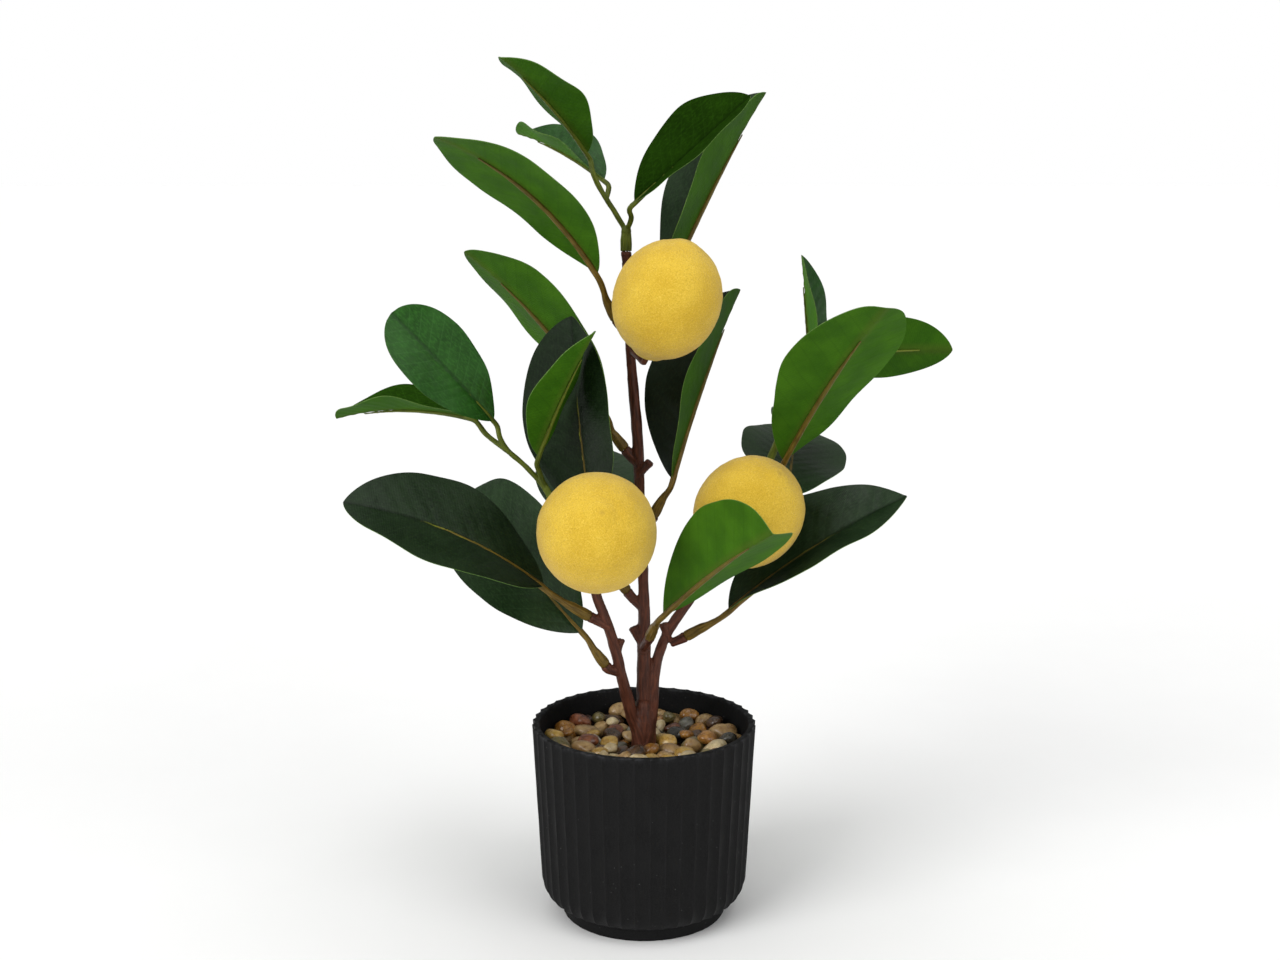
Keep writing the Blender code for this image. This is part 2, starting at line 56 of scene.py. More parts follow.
# Pot, from the CAD model's box and the same wall and rib sizes
pot_low, pot_high = (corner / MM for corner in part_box("pot"))
POT_HEIGHT = pot_high.z - pot_low.z
RIM_RADIUS = (pot_high.x - pot_low.x) / 2
POT_CENTRE = Vector(((pot_low.x + pot_high.x) / 2, (pot_low.y + pot_high.y) / 2, pot_low.z))
POT_WALL = 3.8
POT_FLOOR = 3.0
SHOULDER_RADIUS = 54.7
SHOULDER_HEIGHT = 21.0
BODY_BOTTOM_RADIUS = 46.0
FOOT_RADIUS = 43.5
FOOT_HEIGHT = 8.0
FLUTE_COUNT = 45
FLUTE_DEPTH = 1.15
FLUTE_PHASE = math.radians(1.2)
FLUTE_STEPS = (0, 0.03, 0.08, 0.16, 0.27, 0.39, 0.5, 0.61, 0.73, 0.84, 0.92, 0.97)

# Filling
GRAVEL_RECESS = 13.5
PLANT_CENTRE = POT_CENTRE + Vector((0, 0, POT_HEIGHT - GRAVEL_RECESS))
TRUNK_CLEARANCE = 6.6
STONE_SEED = 41
STONE_COUNT = 250
STONE_DETAIL = 3            # subdivisions of each stone
BED_DEPTH = 10.0            # the lowest stones below the gravel's surface
PILE_TOP = 9.0              # the highest stones above it
STONE_LENGTHS = (4.2, 9.4, 5.8)     # half lengths: least, greatest, usual
STONE_TRIES = 26            # random places that each stone is tried in
STONE_FLATNESS = 0.7

# Plant
BASE_TAPER = 0.85           # how slender a blade starts
BLADE_THICKNESS = 0.9       # of the CAD blade
SHEET_THICKNESS = 0.38      # of the finished leaf
SLEEVE_RADIUS = 2.9
PETIOLE_RADIUS = 1.5
RIB_TIP_RADIUS = 0.7
TWIG_RADIUS = 1.3
LEAF_SIZES = {"large": (110.0, 60.0), "small": (76.0, 38.0)}
LEAF_GRID = {"large": (92, 44), "small": (72, 32)}
VEIN_PITCH = {"large": 9.0, "small": 6.5}
QUILT = {"large": 0.2, "small": 0.34}
BLADE_SHARES = (0, 0.08, 0.2, 0.36, 0.5, 0.64, 0.78, 0.9, 0.96, 1)
RIB_PLACES = 7
BLADE_STEPS = 50
UV_MIDDLE = 50.0            # the midrib's place in the leaves' UV map, in millimetres
VEIN_SLANT = 0.72           # how far a side vein runs up the leaf for each step outward
CREASE_DEPTH = 0.7
CREASE_WIDTH = 1.5
FOLD_RADIUS = 1.2           # rounding of the fold at the midrib
FULL_HALF_WIDTH = 14.0      # the relief fades where a leaf's half is narrower

# Leaves: size, base of the blade, the place its tip is aimed at, where its upper face looks,
# then fold, droop and twist in degrees, and the shape of the tip
BLUNT, USUAL, POINTED = 0.5, 0.7, 0.9
LEAVES = {
    "leaf_01": ("small", (-28, 4, 308), (-65, -44, 349), (0.6, 0.6, 0.5), 20, 15, 0, USUAL),
    "leaf_02": ("small", (-20, 16, 295), (-68, 72, 319), (0.1, -0.1, 1), 35, 15, 0, USUAL),
    "leaf_03": ("small", (-5, -6, 284), (52, -10, 335), (-0.5, -0.7, 0.5), 35, 0, 0, USUAL),
    "leaf_04": ("large", (11, 10, 241), (61, 22, 337), (-0.9, -0.2, 0.4), 35, 10, 0, USUAL),
    "leaf_05": ("large", (-23, -10, 249), (-90, -50, 309), (0.5, 0.5, 0.7), 0, 40, 0, USUAL),
    "leaf_06": ("large", (-19, 5, 177), (-91, 12, 259), (0.6, 0.5, 0.6), 10, 25, 0, USUAL),
    "leaf_07": ("large", (-26, -9, 119), (-36, -16, 229), (-0.6, -0.8, 0), 20, 10, 0, USUAL),
    "leaf_08": ("small", (-53, -24, 160), (-20, -54, 230), (-0.8, 0.5, 0.3), 20, 10, 30, USUAL),
    "leaf_09": ("small", (-75, -17, 176), (-120, -38, 230), (0.2, -0.9, 0.3), 15, 20, 0, BLUNT),
    "leaf_10": ("small", (-89, -12, 178), (-158, 14, 173), (0, -0.1, 1), 30, 25, 0, USUAL),
    "leaf_11": ("large", (-50, -32, 95), (-137, -50, 138), (0.3, -0.5, 0.8), 12, 40, 0, USUAL),
    "leaf_12": ("large", (-32, -15, 66), (-94, 40, 125), (-0.2, -0.8, 0.4), 20, 60, 0, USUAL),
    "leaf_13": ("large", (-28, 8, 115), (-32, 112, 140), (0, -0.2, 1), 5, 10, 0, USUAL),
    "leaf_14": ("large", (14, -2, 144), (50, 42, 235), (-0.8, -0.5, 0.3), 50, 10, 0, USUAL),
    "leaf_15": ("small", (91, 37, 180), (83, 40, 254), (1, -0.3, 0.1), 25, 0, 0, USUAL),
    "leaf_16": ("large", (72, 6, 152), (113, -50, 233), (-0.4, 0.8, 0.3), 8, 15, 0, BLUNT),
    "leaf_17": ("small", (84, 10, 204), (155, 16, 208), (0.1, 0.9, 0.4), 15, 20, 0, USUAL),
    "leaf_18": ("large", (75, 17, 131), (89, 120, 151), (0.2, -0.3, 1), 5, 10, 0, USUAL),
    "leaf_19": ("large", (44, 1, 74), (130, 3, 131), (-0.5, -0.4, 0.7), 24, 20, 20, POINTED),
    "leaf_20": ("large", (10, -31, 80), (56, -107, 137), (0.3, 0.7, 0.6), 45, 20, 0, USUAL),
    "leaf_21": ("small", (84, 22, 168), (92, 93, 168), (0, 0, 1), 5, 0, 0, USUAL),
}

# Leaves whose printed yellow stroke shows, and how strongly
STROKES = {"leaf_07": 0.9, "leaf_11": 1.0, "leaf_19": 0.25, "leaf_13": 0.5}

# Painted light and shade of each leaf's upper face and underside, one of four steps: its colour is scaled
# down for shade and up for light and sheen
PAINTED_SHADE, EVEN, PAINTED_LIGHT, PAINTED_SHEEN = 0.75, 1.0, 1.4, 1.8
LEAF_PAINTED_LIGHT = {
    "leaf_02": (EVEN, PAINTED_LIGHT), "leaf_03": (PAINTED_SHADE, EVEN), "leaf_04": (PAINTED_LIGHT, PAINTED_SHADE), "leaf_08": (PAINTED_LIGHT, EVEN),
    "leaf_09": (PAINTED_LIGHT, EVEN), "leaf_12": (PAINTED_SHEEN, EVEN), "leaf_13": (PAINTED_SHEEN, EVEN), "leaf_14": (PAINTED_SHADE, PAINTED_SHADE),
    "leaf_15": (EVEN, PAINTED_SHEEN), "leaf_17": (EVEN, PAINTED_SHADE), "leaf_18": (PAINTED_SHEEN, EVEN), "leaf_19": (PAINTED_LIGHT, EVEN),
}
# Leaves whose upper face takes a darker, duller copy of the small print: painted shade and less shine
SHADED_LEAVES = ("leaf_03", "leaf_10")

# Branches: points from the trunk outward with the radius at each
BRANCHES = {
    "left": [((-1, 0, 2), 3.6), ((-6, -2, 16), 3.3), ((-10, -7, 33), 3.0), ((-14, -12, 53), 2.8),
             ((-19, -17, 72), 2.7), ((-24, -20, 86), 2.5), ((-28, -19, 105), 2.2)],
    "centre": [((0, 0, 2), 4.2), ((0, 1, 30), 4.0), ((0, 2, 52), 3.7), ((0, 3, 78), 2.8), ((-2, 5, 131), 2.7),
               ((-3, 5, 158), 2.8), ((-5, 5, 184), 2.9), ((-7, 6, 209), 2.5), ((-8, 6, 235), 2.4),
               ((-9, 5, 257), 2.3)],
    "right": [((1, 0, 2), 3.6), ((4, 1, 15), 3.3), ((5, 2, 30), 3.0), ((7, 4, 46), 2.8), ((13, 6, 61), 2.7),
              ((24, 8, 77), 2.6), ((32, 10, 88), 2.5), ((41, 16, 99), 2.3), ((51, 20, 112), 2.2)],
}

# Trunk, from inside the planting block up: height and radius
TRUNK = ((-46, 6.6), (-8, 6.8), (0, 6.8), (7, 6.6), (13, 6.1), (18, 5.0), (23, 3.6))
STUB_RADII = (1.9, 2.1, 2.5)
PEG_RADII = (2.2, 2.6, 2.9, 2.6)            # from the root to the sleeve's mouth
LEMON_TWIG_RADII = (2.1, 1.7, 1.5, 1.5)

# Broken-off stubs: root and end
STUBS = [((-14, -11, 53), (-12, -10, 61)), ((-1, 2, 54), (-6, 2, 64)), ((-3, 5, 144), (3, 1, 152)),
         ((13, 6, 56), (10, 5, 65))]

# Stalks of the large leaves: root on the branch, start and end of the sleeve
STALKS = {
    "leaf_04": ((-7, 6, 215), (-1, 9, 223), (5, 10, 232)),
    "leaf_05": ((-7, 6, 216), (-14, 1, 225), (-19, -4, 235)),
    "leaf_06": ((-3, 5, 150), (-10, 6, 158), (-17, 7, 167)),
    "leaf_07": ((-1, 3, 74), (-9, 4, 83), (-17, 1, 94)),
    "leaf_11": ((-19, -17, 70), (-28, -20, 76), (-39, -26, 84)),
    "leaf_12": ((-14, -10, 43), (-20, -13, 48), (-26, -15, 57)),
    "leaf_13": ((-28, -19, 102), (-29, -12, 105), (-27, -1, 109)),
    "leaf_14": ((-2, 5, 116), (5, 1, 124), (10, -1, 134)),
    "leaf_16": ((50, 20, 111), (58, 20, 121), (67, 18, 133)),
    "leaf_18": ((50, 20, 111), (59, 16, 115), (67, 15, 121)),
    "leaf_19": ((14, 6, 54), (22, 5, 58), (34, 3, 65)),
    "leaf_20": ((-1, 2, 52), (3, -10, 62), (6, -21, 72)),
}

# Sprigs: root of the peg, then the points of the stem; arms run from a stem point to a small leaf
SPRIGS = {
    "top_sprig": (((-9, 5, 254), (-9, 5, 259), (-9, 5, 271)),
                  {"leaf_01": [(-9, 5, 269), (-15, 5, 279), (-22, 4, 290), (-26, 3, 299)],
                   "leaf_02": [(-19, 5, 285), (-18, 10, 289)],
                   "leaf_03": [(-9, 5, 269), (-6, 0, 276)]}),
    "left_sprig": (((-28, -19, 102), (-31, -18, 108), (-36, -18, 118), (-44, -17, 132), (-51, -16, 144)),
                   {"leaf_08": [(-50, -16, 142), (-53, -20, 152)],
                    "leaf_09": [(-50, -16, 142), (-60, -15, 153), (-69, -15, 161), (-73, -16, 169)],
                    "leaf_10": [(-68, -15, 160), (-80, -13, 169)]}),
    "right_sprig": (((50, 20, 111), (55, 25, 121), (61, 27, 133), (69, 25, 155), (76, 20, 173)),
                    {"leaf_15": [(75, 20, 171), (81, 28, 171), (87, 33, 172)],
                     "leaf_17": [(75, 20, 171), (78, 16, 184), (79, 13, 194)],
                     "leaf_21": [(74, 20, 170), (79, 20, 168)]}),
}

# Lemons: end that the twig enters, axis, diameter, points of the twig
LEMON_LENGTH = 62.0
LEMONS = {
    "lemon_left": ((-26, -31, 112), (0.1, -0.85, 0.5), 58.0, [(-28, -19, 102)]),
    "lemon_top": ((1, -17, 208), (0.33, -0.21, 0.92), 53.0, [(-6, 5, 209), (-3, -6, 207)]),
    "lemon_right": ((39, 3, 106), (0.46, -0.5, 0.73), 55.0, [(32, 10, 88), (34, 9, 98)]),
}
LEMON_GRID = (150, 180)     # places along the fruit and round it

# Studio, in metres and degrees: each lamp's place, strength and spread
LAMPS = {
    "key": ((-1.0, -0.95, 0.97), 1.8, 38),
    "fill": ((1.05, -0.9, 0.82), 0.95, 45),
    "top": ((0.0, -0.15, 1.4), 1.4, 60),
}
LAMP_TARGET = (0, 0, 0.22)
GLOW = 0.28                 # strength of the surroundings on the object
FLOOR_SIZE = 60.0
CAMERA_PLACE = (-0.002, -0.824, 0.3875)
CAMERA_TILT = 10.6          # below level
SENSOR_WIDTH = 36.0         # in millimetres, as is the lens
LENS = 45.9

# Voxel sizes of the moulded plastic
BRANCH_VOXEL = 0.55
SPRIG_VOXEL = 0.42


# Materials

class Nodes:
    """Builds a node material; coordinates are in millimetres."""

    def __init__(self, name, roughness=0.5, specular=0.5):
        self.material = bpy.data.materials.new(name)
        self.material.use_nodes = True
        self.tree = self.material.node_tree
        self.shader = self.tree.nodes["Principled BSDF"]
        self.shader.inputs["Roughness"].default_value = roughness
        self.shader.inputs["Specular IOR Level"].default_value = specular

    def add(self, kind, settings=None, **values):
        node = self.tree.nodes.new(kind)
        for key, value in (settings or {}).items():
            setattr(node, key, value)
        for key, value in values.items():
            self.feed(node.inputs[key.replace("_", " ")], value)
        return node

    def feed(self, socket, value):
        if isinstance(value, bpy.types.NodeSocket):
            self.tree.links.new(value, socket)
        else:
            socket.default_value = value

    def scaled(self, vector, scale):
        node = self.add("ShaderNodeVectorMath", {"operation": "MULTIPLY"})
        self.feed(node.inputs[0], vector)
        self.feed(node.inputs[1], scale)
        return node.outputs[0]

    def place(self):
        """Object coordinates in millimetres."""
        return self.scaled(self.add("ShaderNodeTexCoord").outputs["Object"], (1 / MM,) * 3)

    def uv(self, name):
        return self.add("ShaderNodeUVMap", {"uv_map": name}).outputs[0]

    def attribute(self, name, output="Fac"):
        return self.add("ShaderNodeAttribute", {"attribute_name": name}).outputs[output]

    def noise(self, vector, size, detail=3.0, rough=0.5):
        """Noise from 0 to 1 whose features are about size millimetres across."""
        return self.add("ShaderNodeTexNoise", Vector=vector, Scale=1 / size, Detail=detail,
                        Roughness=rough).outputs["Fac"]

    def ramp(self, value, low, high, low_out=0.0, high_out=1.0):
        node = self.add("ShaderNodeMapRange", {"interpolation_type": "SMOOTHSTEP"}, Value=value)
        for key, number in (("From Min", low), ("From Max", high), ("To Min", low_out), ("To Max", high_out)):
            node.inputs[key].default_value = number
        return node.outputs[0]

    def math(self, operation, first, second=0.0):
        node = self.add("ShaderNodeMath", {"operation": operation})
        self.feed(node.inputs[0], first)
        self.feed(node.inputs[1], second)
        return node.outputs[0]

    def times(self, first, second):
        return self.math("MULTIPLY", first, second)

    def mix(self, factor, first, second):
        node = self.add("ShaderNodeMix", {"data_type": "RGBA"})
        self.feed(node.inputs[0], factor)
        for socket, value in ((node.inputs[6], first), (node.inputs[7], second)):
            self.feed(socket, value if isinstance(value, bpy.types.NodeSocket) else (*value, 1.0))
        return node.outputs[2]

    def split(self, vector):
        return self.add("ShaderNodeSeparateXYZ", Vector=vector).outputs

    def join(self, x, y):
        return self.add("ShaderNodeCombineXYZ", X=x, Y=y).outputs[0]

    def bump(self, height, distance, under=None):
        """Bump whose full height is distance millimetres."""
        node = self.add("ShaderNodeBump", Height=height, Distance=distance * MM, Strength=1.0)
        if under:
            self.tree.links.new(under, node.inputs["Normal"])
        return node.outputs[0]

    def painted_light_scaled(self, colour):
        """Colour scaled by the leaf face's step of painted light and shade."""
        return self.scaled(colour, self.attribute("tone"))

    def finish(self, colour, normal=None, roughness=None, **constants):
        self.feed(self.shader.inputs["Base Color"], colour)
        if normal:
            self.feed(self.shader.inputs["Normal"], normal)
        if roughness:
            self.feed(self.shader.inputs["Roughness"], roughness)
        for key, value in constants.items():
            self.shader.inputs[key.replace("_", " ")].default_value = value
        return self.material


def shade(colour, factor):
    return tuple(factor * channel for channel in colour)


def pot_material():
    """Matte charcoal plastic: fine grain, worn arrises, a painted highlight broken by noise along the rim and
    the body's lower lip, a few specks of dust.
    """
    n = Nodes("pot_charcoal", specular=0.07)
    place = n.place()
    ridge, rim, _ = n.split(n.attribute("flute", "Vector"))
    patch = n.noise(place, 14, 4)
    wear = n.times(n.ramp(ridge, 0.86, 1.0), n.ramp(n.noise(place, 12, 3), 0.35, 0.7))
    rim_highlight = n.times(rim, n.ramp(n.noise(place, 3.0, 4), 0.4, 0.66))
    dust_cells = n.add("ShaderNodeTexVoronoi", {"feature": "DISTANCE_TO_EDGE"}, Vector=place, Scale=0.11)
    specks = n.add("ShaderNodeTexVoronoi", Vector=place, Scale=0.23)
    speck = n.ramp(specks.outputs["Distance"], 0.045, 0.07, 1.0, 0.0)
    dust = n.times(speck, n.ramp(dust_cells.outputs["Distance"], 0.1, 0.3, 0.3, 0.0))
    colour = n.mix(n.ramp(patch, 0.3, 0.7), (0.0048, 0.0048, 0.0049), (0.0080, 0.0080, 0.0081))
    colour = n.mix(n.ramp(n.noise(place, 0.5, 2), 0.3, 0.75), colour, (0.0115, 0.0115, 0.0117))
    colour = n.mix(n.times(wear, 0.2), colour, (0.026, 0.026, 0.028))
    # painted highlight: a lighter line along the rim's edges and the body's lower lip
    colour = n.mix(n.times(rim_highlight, 0.6), colour, (0.045, 0.046, 0.05))
    colour = n.mix(dust, colour, (0.2, 0.2, 0.2))
    roughness = n.ramp(patch, 0.25, 0.75, 0.5, 0.66)
    grain = n.bump(n.noise(place, 0.45, 2, 0.6), 0.07)
    streak = n.bump(n.noise(n.scaled(place, (1, 1, 0.12)), 1.3, 2), 0.08, under=grain)
    return n.finish(colour, streak, roughness)


def bark_material():
    """Reddish brown moulded bark with lengthwise streaks, painted shade darkening the grooves and small
    painted highlight flecks.
    """
    n = Nodes("bark_brown", specular=0.22)
    place = n.place()
    grain = n.attribute("grain", "Vector")
    along = n.scaled(grain, (0.14, 1, 1))
    streak = n.noise(along, 1.3, 4, 0.6)
    patch = n.noise(place, 9, 3)
    groove_shade = n.attribute("groove_shade")
    colour = n.mix(n.ramp(streak, 0.3, 0.7), (0.038, 0.0115, 0.0060), (0.115, 0.035, 0.0175))
    colour = n.mix(n.ramp(patch, 0.42, 0.75, 0.0, 0.55), colour, (0.052, 0.0165, 0.009))
    # painted shade: darker where the bark lies deep in a groove
    colour = n.mix(n.ramp(groove_shade, 0.35, 0.8, 0.0, 0.85), colour, (0.013, 0.008, 0.008))
    # painted highlight: small pale flecks standing in for glints on the bark
    colour = n.mix(n.ramp(n.noise(place, 0.8, 2), 0.6, 0.8, 0.0, 0.5), colour, (0.12, 0.042, 0.025))
    roughness = n.ramp(streak, 0.2, 0.8, 0.36, 0.58)
    rough = n.bump(n.noise(place, 0.7, 3, 0.6), 0.12)
    lines = n.bump(streak, 0.4, under=rough)
    return n.finish(colour, lines, roughness)


def stalk_material(name, dark, light, tip):
    """Moulded plastic of a sleeve and midrib: lengthwise lines, paler towards the tip."""
    n = Nodes(name, specular=0.2)
    place = n.place()
    grain = n.attribute("grain", "Vector")
    share = n.attribute("share")
    streak = n.noise(n.scaled(grain, (0.12, 1, 1)), 0.9, 3)
    patch = n.noise(place, 6, 3)
    colour = n.mix(n.ramp(streak, 0.3, 0.7), dark, light)
    colour = n.mix(n.ramp(share, 0.15, 0.9, 0.0, 0.75), colour, tip)
    colour = n.mix(n.ramp(patch, 0.5, 0.8, 0.0, 0.6), colour, shade(dark, 0.55))
    roughness = n.ramp(patch, 0.2, 0.8, 0.38, 0.55)
    fine = n.bump(n.noise(place, 0.5, 2), 0.06)
    lines = n.bump(streak, 0.22, under=fine)
    return n.finish(colour, lines, roughness)


def vein_wave(n):
    """0 on a side vein, 1 half way to the next."""
    turns = n.times(n.attribute("vein"), math.pi)
    return n.math("ABSOLUTE", n.math("SINE", turns))


def leaf_coordinates(n):
    """Across and along in millimetres, then the column from -1 to 1 and the share of the length."""
    shifted, along, _ = n.split(n.uv("mm"))
    across = n.math("SUBTRACT", shifted, UV_MIDDLE)
    column, share, _ = n.split(n.uv("relative"))
    return across, along, n.math("SUBTRACT", n.times(column, 2.0), 1.0), share


def weave_lines(n, across, along, pitch, slant):
    """Fine threads running across the leaf, slightly wavering."""
    waver = n.times(n.noise(n.join(across, along), 14, 2), 1.6)
    place = n.math("ADD", n.math("ADD", along, n.times(across, slant)), waver)
    turns = n.times(place, 2 * math.pi / pitch)
    return n.math("ADD", n.times(n.math("SINE", turns), 0.5), 0.5)


def leaf_top(name, dark, mid, vein, vein_strength, sheen_roughness, specular=0.16):
    """Printed upper face: dark green, slanting veins, a fine speckle and a yellow stroke on the midrib;
    painted shade darkens the midrib's crease.
    """
    n = Nodes(name, specular=specular)
    across, along, column, share = leaf_coordinates(n)
    place = n.join(across, along)
    out = n.math("ABSOLUTE", across)
    wave = vein_wave(n)
    line = n.ramp(wave, 0.0, 0.2, 1.0, 0.0)
    line = n.times(line, n.ramp(n.math("ABSOLUTE", column), 0.75, 1.0, 1.0, 0.0))
    midrib = n.ramp(out, 0.3, 1.5, 1.0, 0.0)
    patch = n.noise(place, 22, 4)
    colour = n.mix(n.ramp(patch, 0.3, 0.72), dark, mid)
    speckle = n.noise(n.scaled(place, (1, 0.3, 1)), 0.9, 3, 0.7)
    colour = n.mix(n.ramp(speckle, 0.42, 0.72, 0.0, 0.55), colour, shade(mid, 1.7))
    colour = n.mix(n.times(line, vein_strength), colour, vein)
    # painted shade: darker along the midrib's crease
    colour = n.mix(n.times(midrib, 0.55), colour, shade(dark, 0.5))
    wander = n.times(n.math("SUBTRACT", n.noise(n.join(0.0, along), 9, 2), 0.5), 2.4)
    beside = n.math("ABSOLUTE", n.math("ADD", across, wander))
    stroke = n.times(n.ramp(beside, 0.15, 0.65, 1.0, 0.0), n.ramp(share, 0.5, 0.66, 1.0, 0.0))
    broken = n.ramp(n.noise(n.join(0.0, along), 5, 2), 0.35, 0.55)
    stroke = n.times(n.times(stroke, broken), n.attribute("stroke"))
    colour = n.mix(stroke, colour, (0.34, 0.36, 0.035))
    threads = weave_lines(n, across, along, 0.8, 0.12)
    weave = n.bump(threads, 0.03)
    relief = n.bump(n.noise(place, 5, 3), 0.35, under=weave)
    roughness = n.ramp(patch, 0.2, 0.8, sheen_roughness - 0.07, sheen_roughness + 0.08)
    # scaled by the upper face's step of painted light and shade
    return n.finish(n.painted_light_scaled(colour), relief, roughness)


def leaf_underside(name, dark, bright, rib_tint):
    """Lower face: brighter green cloth with fine cross threads, faint veins and soft darker patches."""
    n = Nodes(name, specular=0.06)
    across, along, _, _ = leaf_coordinates(n)
    place = n.join(across, along)
    out = n.math("ABSOLUTE", across)
    wave = vein_wave(n)
    patch = n.noise(place, 20, 4)
    colour = n.mix(n.ramp(patch, 0.32, 0.7), dark, bright)
    colour = n.mix(n.ramp(wave, 0.0, 0.3, 0.22, 0.0), colour, shade(dark, 0.6))
    threads = weave_lines(n, across, along, 0.95, 0.16)
    colour = n.mix(n.times(threads, 0.3), colour, shade(dark, 0.62))
    colour = n.mix(n.ramp(out, 0.6, 5.0, 0.45, 0.0), colour, rib_tint)
    fleck = n.ramp(n.noise(place, 0.7, 2), 0.55, 0.8, 0.0, 0.35)
    colour = n.mix(fleck, colour, shade(bright, 1.35))
    warp = weave_lines(n, along, across, 0.7, 0.0)
    weave = n.bump(n.math("ADD", threads, n.times(warp, 0.35)), 0.05)
    relief = n.bump(n.noise(place, 5, 3), 0.3, under=weave)
    roughness = n.ramp(patch, 0.2, 0.8, 0.62, 0.78)
    # scaled by the underside's step of painted light and shade
    return n.finish(n.painted_light_scaled(colour), relief, roughness)


def leaf_edge():
    """Cut edge of the cloth, pale with frayed darker fibres."""
    n = Nodes("leaf_cut_edge", 0.8, 0.2)
    place = n.place()
    fibre = n.noise(place, 0.5, 3, 0.6)
    colour = n.mix(n.ramp(fibre, 0.35, 0.65), (0.05, 0.115, 0.018), (0.13, 0.23, 0.05))
    return n.finish(colour, n.bump(fibre, 0.1))


def lemon_material():
    """Coated foam: granular skin with painted shade in the grain's hollows and painted highlights on its
    crests, browner at the two ends.
    """
    n = Nodes("lemon_skin", specular=0.22)
    place = n.place()
    share = n.attribute("share")
    patch = n.noise(place, 17, 3)
    grain = n.noise(place, 0.62, 3, 0.66)
    cells = n.add("ShaderNodeTexVoronoi", Vector=place, Scale=1.15).outputs["Distance"]
    colour = n.mix(n.ramp(patch, 0.3, 0.7), (0.64, 0.410, 0.026), (0.73, 0.490, 0.042))
    # painted shade: darker, warmer colour in the hollows of the grain that also raises the bump
    colour = n.mix(n.ramp(grain, 0.3, 0.55, 0.65, 0.0), colour, (0.50, 0.295, 0.012))
    # painted highlight: paler colour on the crests of the same grain
    colour = n.mix(n.ramp(grain, 0.52, 0.75, 0.0, 0.7), colour, (0.88, 0.68, 0.14))
    colour = n.mix(n.ramp(n.noise(place, 3.2, 4), 0.66, 0.85, 0.0, 0.12), colour, (0.55, 0.33, 0.04))
    ends = n.math("ADD", n.ramp(share, 0.0, 0.035, 1.0, 0.0), n.ramp(share, 0.975, 1.0, 0.0, 0.55))
    colour = n.mix(n.times(ends, 0.8), colour, (0.40, 0.24, 0.04))
    pits = n.bump(cells, 0.12)
    skin = n.bump(grain, 0.5, under=pits)
    roughness = n.ramp(grain, 0.3, 0.7, 0.72, 0.9)
    return n.finish(colour, skin, roughness, Sheen_Weight=0.22, Sheen_Roughness=0.45)


# Stone kinds: two colours, size of the speckle, how strong the speckle is, gloss
STONES = {
    "stone_tan": ((0.24, 0.13, 0.045), (0.50, 0.33, 0.14), 0.8, 0.9, 0.30),
    "stone_cream": ((0.42, 0.31, 0.15), (0.68, 0.56, 0.34), 1.6, 0.6, 0.34),
    "stone_yellow": ((0.30, 0.165, 0.028), (0.56, 0.37, 0.10), 2.6, 0.6, 0.26),
    "stone_amber": ((0.19, 0.075, 0.012), (0.42, 0.20, 0.04), 2.2, 0.7, 0.22),
    "stone_rust": ((0.085, 0.022, 0.009), (0.27, 0.085, 0.032), 1.4, 0.9, 0.28),
    "stone_brown": ((0.030, 0.014, 0.007), (0.115, 0.058, 0.027), 1.2, 0.9, 0.26),
    "stone_purple": ((0.045, 0.022, 0.018), (0.15, 0.082, 0.065), 1.0, 0.7, 0.24),
    "stone_grey": ((0.070, 0.066, 0.050), (0.23, 0.215, 0.17), 0.9, 1.0, 0.28),
    "stone_olive": ((0.095, 0.073, 0.020), (0.25, 0.20, 0.075), 1.8, 0.6, 0.26),
    "stone_dark": ((0.014, 0.013, 0.010), (0.055, 0.050, 0.036), 1.1, 0.8, 0.24),
    "stone_white": ((0.44, 0.41, 0.33), (0.72, 0.69, 0.60), 2.0, 0.5, 0.30),
}
STONE_WEIGHTS = (28, 14, 20, 12, 9, 12, 2, 5, 8, 5, 3)


def stone_material(name, dark, light, speckle, contrast, gloss):
    """Varnished river stone with its own mottling, grains and a clear wet coat."""
    n = Nodes(name, specular=0.5)
    place = n.place()
    tone = n.attribute("tone")
    shifted = n.add("ShaderNodeVectorMath", {"operation": "ADD"})
    n.feed(shifted.inputs[0], place)
    n.feed(shifted.inputs[1], n.join(n.times(tone, 90.0), n.times(tone, 40.0)))
    place = shifted.outputs[0]
    mottle = n.noise(place, 3.6, 4, 0.6)
    grains = n.noise(place, speckle * 0.45, 3, 0.7)
    colour = n.mix(n.ramp(mottle, 0.3, 0.7), dark, light)
    colour = n.mix(n.ramp(grains, 0.52, 0.72, 0.0, 0.75 * contrast), colour, shade(dark, 0.35))
    colour = n.mix(n.ramp(grains, 0.28, 0.42, 0.6 * contrast, 0.0), colour, shade(light, 1.25))
    band = n.noise(n.scaled(place, (0.25, 0.25, 1.6)), 2.0, 3)
    colour = n.mix(n.ramp(band, 0.55, 0.7, 0.0, 0.35), colour, shade(light, 0.6))
    colour = n.mix(n.ramp(tone, 0.0, 1.0, 0.0, 0.4), colour, shade(dark, 0.55))
    pits = n.bump(grains, 0.16)
    lumps = n.bump(n.noise(place, 1.9, 3), 0.25, under=pits)
    roughness = n.ramp(mottle, 0.25, 0.75, gloss - 0.06, gloss + 0.16)
    return n.finish(colour, lumps, roughness, Coat_Weight=0.35, Coat_Roughness=0.16)


def soil_material():
    """Dark grit between and below the stones."""
    n = Nodes("grit_dark", 0.85, 0.2)
    place = n.place()
    grit = n.noise(place, 0.9, 4, 0.7)
    colour = n.mix(n.ramp(grit, 0.35, 0.65), (0.006, 0.005, 0.004), (0.04, 0.03, 0.02))
    return n.finish(colour, n.bump(grit, 0.6))


